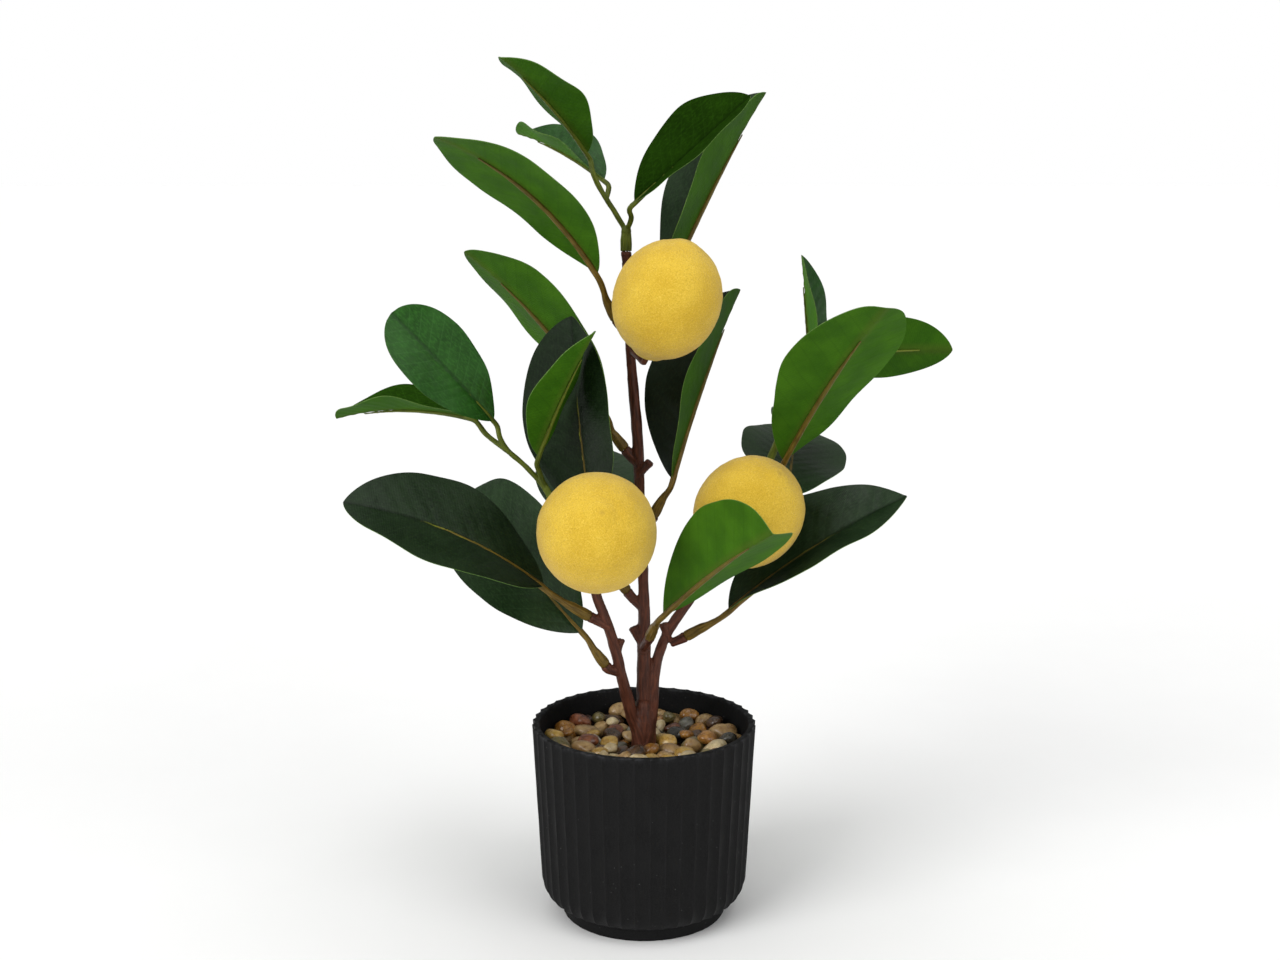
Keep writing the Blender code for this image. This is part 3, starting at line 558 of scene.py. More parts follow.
def hidden_material(name, dark, light, grain_size, metallic, roughness):
    """Finish of a CAD node that lies out of sight: grain, colour variation and bump."""
    n = Nodes(name, roughness)
    place = n.place()
    grain = n.noise(place, grain_size, 4, 0.6)
    colour = n.mix(n.ramp(grain, 0.3, 0.7), dark, light)
    rough = n.ramp(grain, 0.2, 0.8, roughness - 0.1, roughness + 0.1)
    return n.finish(colour, n.bump(grain, 0.2 * grain_size), rough, Metallic=metallic)


def floor_material():
    n = Nodes("studio_floor", 0.9, 0.1)
    place = n.place()
    colour = n.mix(n.noise(place, 60, 3), (0.92, 0.92, 0.915), (0.94, 0.94, 0.935))
    return n.finish(colour, n.bump(n.noise(place, 1.5, 2), 0.05))


# Mesh helpers

def new_object(name, data):
    thing = bpy.data.objects.new(name, data)
    bpy.context.scene.collection.objects.link(thing)
    return thing


def make_object(name, points, faces, materials, face_material=None):
    """Mesh object from points in millimetres."""
    mesh = bpy.data.meshes.new(name)
    mesh.from_pydata([tuple(float(x) * MM for x in p) for p in points], [], faces)
    for material in materials:
        mesh.materials.append(material)
    if face_material is not None:
        mesh.polygons.foreach_set("material_index", face_material)
    mesh.shade_smooth()
    mesh.update()
    return new_object(name, mesh)


def add_piece(thing, slot, *nodes):
    """Parent a finished object to the body's empty, so it rides on the body, and hide the CAD nodes it stands
    for.
    """
    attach(thing, BODY)
    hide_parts(*nodes)


def ring_faces(rings, steps):
    """Faces between rings of vertex numbers; a ring of one vertex closes an end."""
    faces = []
    for lower, upper in zip(rings, rings[1:]):
        for i in range(steps):
            j = (i + 1) % steps
            if len(lower) == 1:
                faces.append((lower[0], upper[j], upper[i]))
            elif len(upper) == 1:
                faces.append((lower[i], lower[j], upper[0]))
            else:
                faces.append((lower[i], lower[j], upper[j], upper[i]))
    return faces


def vertex_values(thing, name, values, kind="FLOAT"):
    made = thing.data.attributes.new(name, kind, "POINT")
    key = "value" if kind == "FLOAT" else "vector"
    made.data.foreach_set(key, np.asarray(values, np.float32).ravel())


def loop_uv(thing, name, per_point):
    """UV map from one pair of numbers per vertex."""
    layer = thing.data.uv_layers.new(name=name)
    corners = np.empty(len(thing.data.loops), np.int32)
    thing.data.loops.foreach_get("vertex_index", corners)
    layer.uv.foreach_set("vector", np.asarray(per_point, np.float32)[corners].ravel())


def plant(point):
    return Vector(point) + PLANT_CENTRE


def blend(values, count):
    """Spread a short list of values evenly over a number of places."""
    return list(np.interp(np.linspace(0, len(values) - 1, count), range(len(values)), values))


def smooth_path(points, spacing):
    """Points about one spacing apart on a Catmull-Rom curve through the given points."""
    points = [Vector(p) for p in points]
    padded = [2 * points[0] - points[1]] + points + [2 * points[-1] - points[-2]]
    path = [points[0]]
    for a, b, c, d in zip(padded, padded[1:], padded[2:], padded[3:]):
        steps = max(1, round((c - b).length / spacing))
        for step in range(1, steps + 1):
            t = step / steps
            path.append(0.5 * (2 * b + (c - a) * t + (2 * a - 5 * b + 4 * c - d) * t * t
                               + (3 * b - a - 3 * c + d) * t ** 3))
    return path


def running_length(path):
    return np.concatenate([[0], np.cumsum([(b - a).length for a, b in zip(path, path[1:])])])


def tapered(radii, count):
    """Radii along a midrib: at its start, at 0.7 of the way and at its tip."""
    return list(np.interp(np.linspace(0, 1, count), (0, 0.7, 1), radii))


def bump_noise(point, size, seed=0.0):
    """Smooth noise from -1 to 1 with features about size millimetres across."""
    return noise.noise(Vector(point) / size + Vector((seed, 1.7 * seed, -seed)))


class Tube:
    """A round bar along a path, with a frame and a running length at each place."""

    def __init__(self, path, radii, ridge):
        self.path = [Vector(p) for p in path]
        self.radii = [float(r) for r in radii]
        count = len(self.path)
        self.tangents = [(self.path[min(i + 1, count - 1)] - self.path[max(i - 1, 0)]).normalized()
                         for i in range(count)]
        across = self.tangents[0].orthogonal().normalized()
        self.frames = []
        self.run = [0.0]
        for i, tangent in enumerate(self.tangents):
            if i:
                across = self.tangents[i - 1].rotation_difference(tangent) @ across
                self.run.append(self.run[-1] + (self.path[i] - self.path[i - 1]).length)
            across = (across - across.dot(tangent) * tangent).normalized()
            self.frames.append((across.copy(), tangent.cross(across)))
        self.ridge = ridge
        self.share = np.linspace(0.0, 1.0, count)

    def shell(self, sides, first):
        """Closed shell as points and faces, numbered from first."""
        points = [self.path[0]]
        for centre, (u, v), radius in zip(self.path, self.frames, self.radii):
            for side in range(sides):
                angle = 2 * math.pi * side / sides
                points.append(centre + radius * (math.cos(angle) * u + math.sin(angle) * v))
        points.append(self.path[-1])
        last = first + len(points) - 1
        faces = []
        for side in range(sides):
            step = (side + 1) % sides
            faces.append((first, first + 1 + step, first + 1 + side))
            for ring in range(len(self.path) - 1):
                low = first + 1 + ring * sides
                faces.append((low + side, low + step, low + sides + step, low + sides + side))
            end = first + 1 + (len(self.path) - 1) * sides
            faces.append((end + side, end + step, last))
        return points, faces


def evaluated_copy(thing):
    """Mesh of an object with its modifiers applied; the object itself is removed."""
    graph = bpy.context.evaluated_depsgraph_get()
    mesh = bpy.data.meshes.new_from_object(thing.evaluated_get(graph))
    bpy.data.objects.remove(thing)
    return mesh


def resampled(path, radii, ridges, spacing, softening=0):
    """The same bar with places at an even spacing, its kinks softened."""
    path = [Vector(p) for p in path]
    run = running_length(path)
    count = max(2, round(run[-1] / spacing) + 1)
    marks = np.linspace(0, run[-1], count)
    columns = [np.interp(marks, run, [p[axis] for p in path]) for axis in range(3)]
    places = np.array(columns).T
    for _ in range(softening):
        places[1:-1] = (places[:-2] + 2 * places[1:-1] + places[2:]) / 4
    return Tube([Vector(p) for p in places], np.interp(marks, run, radii), np.interp(marks, run, ridges))


def mesh_arrays(mesh):
    """Points in millimetres, normals and edges of a mesh."""
    count = len(mesh.vertices)
    points = np.empty(count * 3, np.float32)
    mesh.vertices.foreach_get("co", points)
    normals = np.empty(count * 3, np.float32)
    mesh.vertices.foreach_get("normal", normals)
    edges = np.empty(len(mesh.edges) * 2, np.int32)
    mesh.edges.foreach_get("vertices", edges)
    points = points.reshape(-1, 3).astype(float) / MM
    return points, normals.reshape(-1, 3).astype(float), edges.reshape(-1, 2)


def neighbour_mean(values, edges):
    """Mean of the neighbours of every vertex."""
    total = np.zeros_like(values)
    np.add.at(total, edges[:, 0], values[edges[:, 1]])
    np.add.at(total, edges[:, 1], values[edges[:, 0]])
    degree = np.bincount(edges.ravel(), minlength=len(values)).reshape((-1,) + (1,) * (values.ndim - 1))
    return total / np.maximum(degree, 1)


def hollows(mesh, passes=6, reach=0.55):
    """From 0 to 1: how deep each vertex lies in a groove."""
    points, normals, edges = mesh_arrays(mesh)
    lift = ((neighbour_mean(points, edges) - points) * normals).sum(1)
    spacing = np.linalg.norm(points[edges[:, 0]] - points[edges[:, 1]], axis=1).mean()
    bend = lift / spacing ** 2
    for _ in range(passes):
        bend = neighbour_mean(bend, edges)
    return np.clip(bend / reach, 0, 1)


def decorate(mesh, tubes, line_count, carve):
    """Carve each vertex by carve(run, angle, radius, ridge, seed) and note its place on its tube."""
    places = [(t, i) for t, tube in enumerate(tubes) for i in range(len(tube.path))]
    tree = kdtree.KDTree(len(places))
    for index, (t, i) in enumerate(places):
        tree.insert(tubes[t].path[i], index)
    tree.balance()
    points, normals, _ = mesh_arrays(mesh)
    grain = np.empty_like(points)
    share = np.empty(len(points))
    moved = np.empty_like(points)
    for number, (point, normal) in enumerate(zip(points, normals)):
        _, index, _ = tree.find(point)
        t, i = places[index]
        tube = tubes[t]
        out = Vector(point) - tube.path[i]
        u, v = tube.frames[i]
        angle = math.atan2(out.dot(v), out.dot(u))
        run = tube.run[i] + out.dot(tube.tangents[i])
        radius = max(tube.radii[i], 0.3)
        grain[number] = (run + 37 * t, radius * math.cos(angle), radius * math.sin(angle))
        share[number] = tube.share[i]
        ridge = tube.ridge[i] * (0.5 + 0.5 * math.cos(line_count * angle))
        moved[number] = point + normal * (carve(run, angle, radius, t) - ridge)
    mesh.vertices.foreach_set("co", (moved * MM).astype(np.float32).ravel())
    return grain, share


def moulding(name, tubes, materials, carve, voxel=None, smoothing=4, line_count=9, sides=20):
    """Plastic moulding of one or more tubes: melted into one skin if a voxel size is given, then carved."""
    points, faces = [], []
    for tube in tubes:
        more, joined = tube.shell(sides, len(points))
        points += more
        faces += joined
    raw = make_object(name + "_raw", points, faces, [])
    if voxel:
        remesh = raw.modifiers.new("skin", "REMESH")
        remesh.mode = "VOXEL"
        remesh.voxel_size = voxel * MM
        relax = raw.modifiers.new("relax", "SMOOTH")
        relax.factor = 0.5
        relax.iterations = smoothing
    mesh = evaluated_copy(raw)
    mesh.name = name
    for material in materials:
        mesh.materials.append(material)
    # how deep each vertex lies in a groove, for the bark's painted shade
    groove_shade = hollows(mesh)
    grain, share = decorate(mesh, tubes, line_count, carve)
    mesh.shade_smooth()
    mesh.update()
    thing = new_object(name, mesh)
    vertex_values(thing, "grain", grain, "FLOAT_VECTOR")
    vertex_values(thing, "share", share)
    vertex_values(thing, "groove_shade", groove_shade)
    return thing


# Pot and gravel

def body_radius(height):
    """Radius of the flutes' arrises between the shoulder and the rim."""
    share = (height - SHOULDER_HEIGHT) / (POT_HEIGHT - SHOULDER_HEIGHT)
    return SHOULDER_RADIUS + (RIM_RADIUS - SHOULDER_RADIUS) * share


def pot_profile():
    """Rows of (radius, height, how fluted, weight of the painted rim highlight) from under the foot to the
    inside floor.
    """
    rows = [(0, 0.6, 0, 0), (FOOT_RADIUS - 6, 0.6, 0, 0), (FOOT_RADIUS - 4.5, 0, 0, 0),
            (FOOT_RADIUS - 1.0, 0, 0, 0), (FOOT_RADIUS - 0.35, 0.25, 0, 0), (FOOT_RADIUS, 0.9, 0, 0),
            (FOOT_RADIUS, 2.5, 0, 0), (FOOT_RADIUS, 4.5, 0, 0), (FOOT_RADIUS, 6.4, 0, 0),
            (FOOT_RADIUS + 0.2, FOOT_HEIGHT - 1.0, 0, 0), (FOOT_RADIUS + 0.8, FOOT_HEIGHT - 0.6, 0, 0),
            (BODY_BOTTOM_RADIUS - 0.3, FOOT_HEIGHT - 0.6, 0, 0.25),
            (BODY_BOTTOM_RADIUS + 0.1, FOOT_HEIGHT - 0.25, 0, 0.5),
            (BODY_BOTTOM_RADIUS + 0.2, FOOT_HEIGHT + 0.2, 0, 0.5)]
    rise = SHOULDER_HEIGHT - FOOT_HEIGHT
    run = SHOULDER_RADIUS - BODY_BOTTOM_RADIUS
    for turn in np.radians(np.linspace(4, 90, 18)):
        fluted = min(1.0, 0.15 + 3.2 * (1 - math.cos(turn)) + 1.2 * math.sin(turn))
        rows.append((BODY_BOTTOM_RADIUS + run * math.sin(turn), SHOULDER_HEIGHT - rise * math.cos(turn) + 0.3,
                     fluted, 0))
    for height in np.linspace(SHOULDER_HEIGHT, POT_HEIGHT, 30)[1:-1]:
        rows.append((body_radius(height), height, 1, 0))
    inner = RIM_RADIUS - POT_WALL
    rows += [(RIM_RADIUS, POT_HEIGHT - 0.8, 1, 0.4), (RIM_RADIUS, POT_HEIGHT - 0.35, 1, 1),
             (RIM_RADIUS - 0.35, POT_HEIGHT, 0.95, 1), (RIM_RADIUS - 1.6, POT_HEIGHT, 0.4, 0.8),
             (inner + 0.5, POT_HEIGHT, 0, 0.8), (inner + 0.1, POT_HEIGHT - 0.3, 0, 1),
             (inner - 0.1, POT_HEIGHT - 1.2, 0, 0.2)]
    for height in np.linspace(POT_HEIGHT - 4, SHOULDER_HEIGHT, 12):
        rows.append((body_radius(height) - POT_WALL - 0.1, height, 0, 0))
    rows += [(FOOT_RADIUS - POT_WALL, POT_FLOOR + 4, 0, 0), (FOOT_RADIUS - POT_WALL - 3, POT_FLOOR, 0, 0),
             (0, POT_FLOOR, 0, 0)]
    return rows


def build_pot(material):
    angles = []
    places = []
    for flute in range(FLUTE_COUNT):
        for step in FLUTE_STEPS:
            angles.append(2 * math.pi * (flute + step) / FLUTE_COUNT + FLUTE_PHASE)
            places.append(step)
    points, marks, rings = [], [], []
    for radius, height, fluted, rim in pot_profile():
        if radius == 0:
            rings.append([len(points)])
            points.append(POT_CENTRE + Vector((0, 0, height)))
            marks.append((0, 0, 0))
            continue
        ring = []
        for angle, place in zip(angles, places):
            scoop = FLUTE_DEPTH * fluted * 4 * place * (1 - place)
            direction = Vector((math.cos(angle), math.sin(angle), 0))
            wobble = 0.09 * bump_noise(direction * radius + Vector((0, 0, height)), 16, 3.0)
            if radius > FOOT_RADIUS - 1.2 and height < 1:
                wobble += 0.22 * bump_noise(direction * radius, 2.4, 5.0)
            r = radius - scoop + wobble
            ring.append(len(points))
            points.append(POT_CENTRE + direction * r + Vector((0, 0, height)))
            # the second mark is the weight of the painted highlight on the rim and the lower lip
            marks.append((abs(2 * place - 1) * fluted, rim, 0))
        rings.append(ring)
    pot = make_object("ribbed_pot", points, ring_faces(rings, len(angles)), [material])
    vertex_values(pot, "flute", marks, "FLOAT_VECTOR")
    add_piece(pot, "charcoal_plastic", "pot")


def unit_sphere(detail):
    """Directions and faces of an icosphere."""
    built = bmesh.new()
    bmesh.ops.create_icosphere(built, subdivisions=detail, radius=1.0)
    directions = np.array([v.co[:] for v in built.verts])
    faces = np.array([[v.index for v in f.verts] for f in built.faces])
    built.free()
    return directions, faces


def stone_points(draw, directions, half, turn):
    """A water-worn stone: an ellipsoid with softened flat sides and shallow lumps."""
    cuts = draw.randint(4, 8)
    normals = np.array([[draw.gauss(0, 1) for _ in range(3)] for _ in range(cuts)])
    normals /= np.linalg.norm(normals, axis=1)[:, None]
    depths = np.array([draw.uniform(0.62, 0.95) for _ in range(cuts)])
    sharpness = draw.uniform(7, 15)
    reach = np.clip(directions @ normals.T, 0, None) / depths
    radius = (1 + (reach ** sharpness).sum(1)) ** (-1 / sharpness)
    for _ in range(6):
        wave = np.array([draw.gauss(0, 2.2) for _ in range(3)])
        radius *= 1 + 0.02 * np.sin(directions @ wave + draw.uniform(0, 6.3))
    for _ in range(6):
        wave = np.array([draw.gauss(0, 7.0) for _ in range(3)])
        radius *= 1 + 0.006 * np.sin(directions @ wave + draw.uniform(0, 6.3))
    shape = directions * radius[:, None] * np.array(half)
    return shape @ np.array(turn.to_matrix()).T


def settle_stones(draw, kept):
    """Drop stones one by one into the lowest of a few random places between the trunk and the wall."""
    placed = [(c.x, c.y, c.z / STONE_FLATNESS, r) for c, r in kept]
    stones = []
    for _ in range(STONE_COUNT):
        length = draw.triangular(*STONE_LENGTHS)
        half = (length, length * draw.uniform(0.66, 0.92), length * draw.uniform(0.48, 0.68))
        reach = (half[0] + half[1]) / 2 * 0.9
        known = np.array(placed) if placed else np.zeros((0, 4))
        best = None
        for _ in range(STONE_TRIES):
            angle = draw.uniform(0, 2 * math.pi)
            inner = TRUNK_CLEARANCE + reach * 0.8
            outer = RIM_RADIUS - POT_WALL - 0.8 - half[0] * 0.95
            distance = math.sqrt(draw.uniform(inner ** 2, outer ** 2))
            x, y = distance * math.cos(angle), distance * math.sin(angle)
            level = (-BED_DEPTH + half[2]) / STONE_FLATNESS
            if len(known):
                gap = (known[:, 0] - x) ** 2 + (known[:, 1] - y) ** 2
                room = (0.9 * (known[:, 3] + reach)) ** 2 - gap
                resting = known[:, 2] + np.sqrt(np.clip(room, 0, None))
                resting = resting[room > 0]
                if len(resting):
                    level = max(level, resting.max())
            if best is None or level < best[2]:
                best = (x, y, level)
        x, y, level = best
        pile = PILE_TOP * (0.55 + 0.45 * math.hypot(x, y) / RIM_RADIUS)
        if level * STONE_FLATNESS + half[2] * 0.8 > pile:
            continue
        placed.append((x, y, level, reach))
        tilt = Euler((draw.gauss(0, 0.3), draw.gauss(0, 0.3), draw.uniform(0, 6.3))).to_quaternion()
        stones.append((Vector((x, y, level * STONE_FLATNESS)), half, tilt))
    return stones


def build_gravel(kinds, grit):
    """The large stones of the CAD model in their own boxes, and smaller ones packed round and below them."""
    draw = random.Random(STONE_SEED)
    directions, sphere_faces = unit_sphere(STONE_DETAIL)
    names = sorted(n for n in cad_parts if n.startswith("pebble_"))
    kept = []
    for index, name in enumerate(names):
        low, high = (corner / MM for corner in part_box(name))
        centre, half = (low + high) / 2, (high - low) / 2
        points = stone_points(draw, directions, half * 1.06, Quaternion()) + np.array(centre)
        material = draw.choices(kinds, STONE_WEIGHTS)[0]
        stone = make_object(f"large_stone_{index + 1:02d}", points, sphere_faces.tolist(), [material])
        vertex_values(stone, "tone", [draw.random()] * len(points))
        add_piece(stone, "pebble", name)
        kept.append((centre - PLANT_CENTRE, (half.x + half.y) / 2))
    points, faces, face_kind, tones = [], [], [], []
    for centre, half, turn in settle_stones(draw, kept):
        shape = stone_points(draw, directions, half, turn) + np.array(PLANT_CENTRE + centre)
        faces += (sphere_faces + len(points)).tolist()
        points += shape.tolist()
        kind = draw.choices(range(len(kinds)), STONE_WEIGHTS)[0]
        face_kind += [kind] * len(sphere_faces)
        tones += [draw.random()] * len(shape)
    gravel = make_object("river_gravel", points, faces, kinds, face_kind)
    vertex_values(gravel, "tone", tones)
    add_piece(gravel, "pebble", "gravel_bed")
    build_grit(grit)


def build_grit(material):
    """Closed bumpy disc of dark grit below the stones."""
    top = -BED_DEPTH + 2.5
    wall = RIM_RADIUS - POT_WALL - 2.0
    rings, steps = 26, 110
    points, faces = [], []
    for layer in (0, 1):
        for ring in range(rings + 1):
            radius = wall * ring / rings
            for step in range(steps):
                angle = 2 * math.pi * step / steps
                x, y = radius * math.cos(angle), radius * math.sin(angle)
                lift = 1.3 * bump_noise((x, y, 0), 4.0, 1.0) + 0.6 * bump_noise((x, y, 0), 1.6, 2.0)
                z = top + lift if layer == 0 else top - 4
                points.append(PLANT_CENTRE + Vector((x, y, z)))
    layer_size = (rings + 1) * steps
    for ring in range(rings):
        for step in range(steps):
            a, b = ring * steps + step, ring * steps + (step + 1) % steps
            faces.append((a, a + steps, b + steps, b))
            faces.append((layer_size + a, layer_size + b, layer_size + b + steps, layer_size + a + steps))
    last = rings * steps
    for step in range(steps):
        a, b = last + step, last + (step + 1) % steps
        faces.append((a, layer_size + a, layer_size + b, b))
    disc = make_object("grit_bed", points, faces, [material])
    add_piece(disc, "pebble")


# Branches

def bark_carve(run, angle, radius, seed):
    """Lengthwise furrows and shallow lumps of the moulded bark."""
    c, s = math.cos(angle), math.sin(angle)
    size = min(radius, 6.0)
    furrow = noise.noise(Vector((run / 17 + 3 * seed, 2.3 * c, 2.3 * s)))
    fine = noise.noise(Vector((run / 7, 5.0 * c + 9, 5.0 * s + seed)))
    lump = noise.noise(Vector((run / 6, 1.1 * c, 1.1 * s - 5)))
    return 0.11 * size * furrow + 0.035 * size * fine + 0.07 * size * lump


def plain_carve(run, angle, radius, seed):
    """Slight unevenness of a thin green moulding."""
    c, s = math.cos(angle), math.sin(angle)
    return 0.10 * radius * noise.noise(Vector((run / 5 + seed, 1.6 * c, 1.6 * s)))


def peg_mouths():
    """Root, mouth and next point of every sleeve that is pushed over a peg."""
    return list(STALKS.values()) + [stem[:3] for stem, _ in SPRIGS.values()]


def build_branches(material):
    trunk = [plant((0, 0, height)) for height, _ in TRUNK]
    tubes = [resampled(trunk, [radius for _, radius in TRUNK], [0] * len(TRUNK), 1.5)]
    for rows in BRANCHES.values():
        path = smooth_path([plant(point) for point, _ in rows], 6)
        tubes.append(resampled(path, blend([r for _, r in rows], len(path)), [0] * len(path), 1.2))
    for root, end in STUBS:
        start, tip = plant(root), plant(end)
        tubes.append(resampled([start, start.lerp(tip, 0.7), tip], STUB_RADII, [0] * 3, 0.8))
    for root, mouth, tip in peg_mouths():
        root, mouth, tip = plant(root), plant(mouth), plant(tip)
        along = (tip - mouth).normalized()
        path = [root] + [mouth - along * back for back in (2.8, 0.8, 0.1)]
        tubes.append(resampled(path, PEG_RADII, [0] * len(path), 0.6))
    for end, axis, _, twig in LEMONS.values():
        axis = Vector(axis).normalized()
        entry = plant(end)
        path = smooth_path([plant(p) for p in twig] + [entry - axis * 3, entry + axis * 4], 4)
        tubes.append(resampled(path, blend(LEMON_TWIG_RADII, len(path)), [0] * len(path), 1.2))
    branches = moulding("branches", tubes, [material], bark_carve, BRANCH_VOXEL)
    add_piece(branches, "brown_plastic", "branch_moulding")


# Leaves

class Blade:
    """Curved sheet of one leaf, as in the CAD model: a centre line with a side and a face at each place."""

    def __init__(self, row):
        self.size, base, aim, facing, fold, droop, twist, self.tip = row
        self.length, self.width = LEAF_SIZES[self.size]
        self.fold = math.radians(fold)
        droop, twist = math.radians(droop), math.radians(twist)
        along = (Vector(aim) - Vector(base)).normalized()
        side = Vector(facing).cross(along).normalized()
        arch = Quaternion(side, -droop / 2)
        along, face = arch @ along, arch @ along.cross(side)
        turn = Quaternion(along, -twist / 2)
        side, face = turn @ side, turn @ face
        self.places = []
        point = plant(base)
        for _ in range(BLADE_STEPS + 1):
            self.places.append((point.copy(), along.copy(), side.copy(), face.copy()))
            bend = Quaternion(side, droop / BLADE_STEPS)
            along, face = bend @ along, bend @ face
            point += along * self.length / BLADE_STEPS
            curl = Quaternion(along, twist / BLADE_STEPS)
            side, face = curl @ side, curl @ face

    def at(self, share):
        """Point, along, side and face at a share of the length."""
        place = share * BLADE_STEPS
        low = min(int(place), BLADE_STEPS - 1)
        return [a.lerp(b, place - low) for a, b in zip(self.places[low], self.places[low + 1])]

    def half_width(self, share, least=1.0):
        """Blunt-tipped oval, widest a little past the middle."""
        widest = BASE_TAPER / (BASE_TAPER + self.tip)
        fullest = widest ** BASE_TAPER * (1 - widest) ** self.tip
        curve = share ** BASE_TAPER * (1 - share) ** self.tip / fullest
        return max(self.width / 2 * curve, least)

    def cad_centre(self):
        """Centre of the box of the CAD blade that these numbers give."""
        corners = []
        for share in BLADE_SHARES:
            point, _, side, face = self.at(share)
            half = self.half_width(share)
            for column in (-1, -0.5, 0, 0.5, 1):
                bent = face * (abs(column) * half * math.sin(self.fold))
                flat = side * (column * half * math.cos(self.fold))
                for layer in (1, -1):
                    corners.append(point + flat + bent + face * (layer * BLADE_THICKNESS / 2))
        corners = np.array(corners)
        return Vector((corners.min(0) + corners.max(0)) / 2)

    def rib_path(self):
        """Along the underside of the blade, half sunk in it, starting just behind its base."""
        path = []
        for share, radius in zip(BLADE_SHARES, blend([PETIOLE_RADIUS, RIB_TIP_RADIUS], RIB_PLACES)):
            point, _, _, face = self.at(share)
            path.append(point - face * (SHEET_THICKNESS / 2 + radius * 0.75))
        behind = self.places[0][1] * 5
        return [path[0] - behind] + path


def build_leaf(name, row, materials, seed):
    """Cloth leaf: quilted between its side veins, creased at the midrib, with a cut edge all round."""
    blade = Blade(row)
    low, high = (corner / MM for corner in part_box(name))
    shift = (low + high) / 2 - blade.cad_centre()
    rows, columns = LEAF_GRID[blade.size]
    pitch = VEIN_PITCH[blade.size]
    phase = 2.1 * seed
    points, flat_mm, relative, veins = [], [], [], []
    for layer in (1, -1):
        for i in range(rows + 1):
            share = 0.5 - 0.5 * math.cos(math.pi * (i / rows) ** 0.94) if i else 0.0
            share = 0.35 * share + 0.65 * i / rows
            point, _, side, face = blade.at(share)
            half = blade.half_width(share, 0.5)
            relief = min(1.0, half / FULL_HALF_WIDTH)
            run = share * blade.length
            for j in range(columns + 1):
                column = 2 * j / columns - 1
                trim = 1 + 0.022 * bump_noise((run, 40 * np.sign(column), 0), 16, seed)
                across = column * half * trim
                out = math.hypot(across, FOLD_RADIUS) - FOLD_RADIUS
                drift = 3.2 * bump_noise((run, across * 0.4, 0), 22, seed + 4)
                vein = (run + drift - VEIN_SLANT * abs(across)) / pitch
                edge_fade = 1 - abs(column) ** 3
                pillow = abs(math.sin(math.pi * vein)) ** 0.7 * edge_fade * relief
                crease = math.exp(-(across / CREASE_WIDTH) ** 2) * (1 - share) ** 0.5
                swing = math.sin(2 * math.pi * 2.1 * share + phase + (column > 0) * 1.7)
                wave = (column * column) * (0.9 * swing + 1.3 * bump_noise((run, across, 0), 24, seed + 9))
                lift = QUILT[blade.size] * pillow - CREASE_DEPTH * crease + wave * relief
                lift += out * math.sin(blade.fold)
                place = point + side * (across * math.cos(blade.fold))
                points.append(place + face * (lift + layer * SHEET_THICKNESS / 2) + shift)
                flat_mm.append((across + UV_MIDDLE, run))
                relative.append(((column + 1) / 2, share))
                veins.append(vein)
    faces, kinds = [], []
    line = columns + 1
    layer_size = (rows + 1) * line
    for i in range(rows):
        for j in range(columns):
            a, b = i * line + j, (i + 1) * line + j
            faces.append((a, a + 1, b + 1, b))
            faces.append((layer_size + a, layer_size + b, layer_size + b + 1, layer_size + a + 1))
            kinds += [0, 1]
    rim = list(range(columns)) + [i * line + columns for i in range(rows)]
    rim += [rows * line + j for j in range(columns, 0, -1)] + [i * line for i in range(rows, 0, -1)]
    for a, b in zip(rim, rim[1:] + rim[:1]):
        faces.append((a, layer_size + a, layer_size + b, b))
        kinds.append(2)
    leaf = make_object(name.replace("leaf", "cloth_leaf"), points, faces, materials, kinds)
    leaf.data.set_sharp_from_angle(angle=math.radians(50))
    loop_uv(leaf, "mm", flat_mm)
    loop_uv(leaf, "relative", relative)
    vertex_values(leaf, "vein", veins)
    vertex_values(leaf, "stroke", [STROKES.get(name, 0.0)] * len(points))
    # each face's step of painted light and shade, carried by the tone attribute
    upper, lower = LEAF_PAINTED_LIGHT.get(name, (EVEN, EVEN))
    vertex_values(leaf, "tone", [upper] * layer_size + [lower] * layer_size)
    add_piece(leaf, "leaf_fabric", name)
    return shift


def build_stalk(name, row, stalk, material):
    """Sleeve with lengthwise ridges, petiole and the midrib under the blade."""
    root, start, end = map(plant, stalk)
    rib = Blade(row).rib_path()
    along = (end - start).normalized()
    sleeve = [start - along * 0.2, start, start.lerp(end, 0.3), start.lerp(end, 0.75), end]
    sleeve_radii = [2.5, SLEEVE_RADIUS, SLEEVE_RADIUS, SLEEVE_RADIUS - 0.35, PETIOLE_RADIUS + 0.45]
    petiole = smooth_path([end] + rib[:3], 4)[1:]
    path = sleeve + petiole + rib[3:]
    radii = sleeve_radii + [PETIOLE_RADIUS + 0.05] * (len(petiole) - 3)
    radii += tapered((PETIOLE_RADIUS + 0.1, RIB_TIP_RADIUS + 0.45, 0.3), len(rib))
    ridges = [0.5, 0.6, 0.6, 0.45, 0.2]
    ridges += [0.0] * (len(radii) - len(ridges))
    tube = resampled(path, radii, ridges, 0.9, 12)
    bar = moulding(name.replace("stalk", "leaf_stalk"), [tube], [material], plain_carve, line_count=7,
                   sides=28)
    add_piece(bar, "olive_plastic", name)


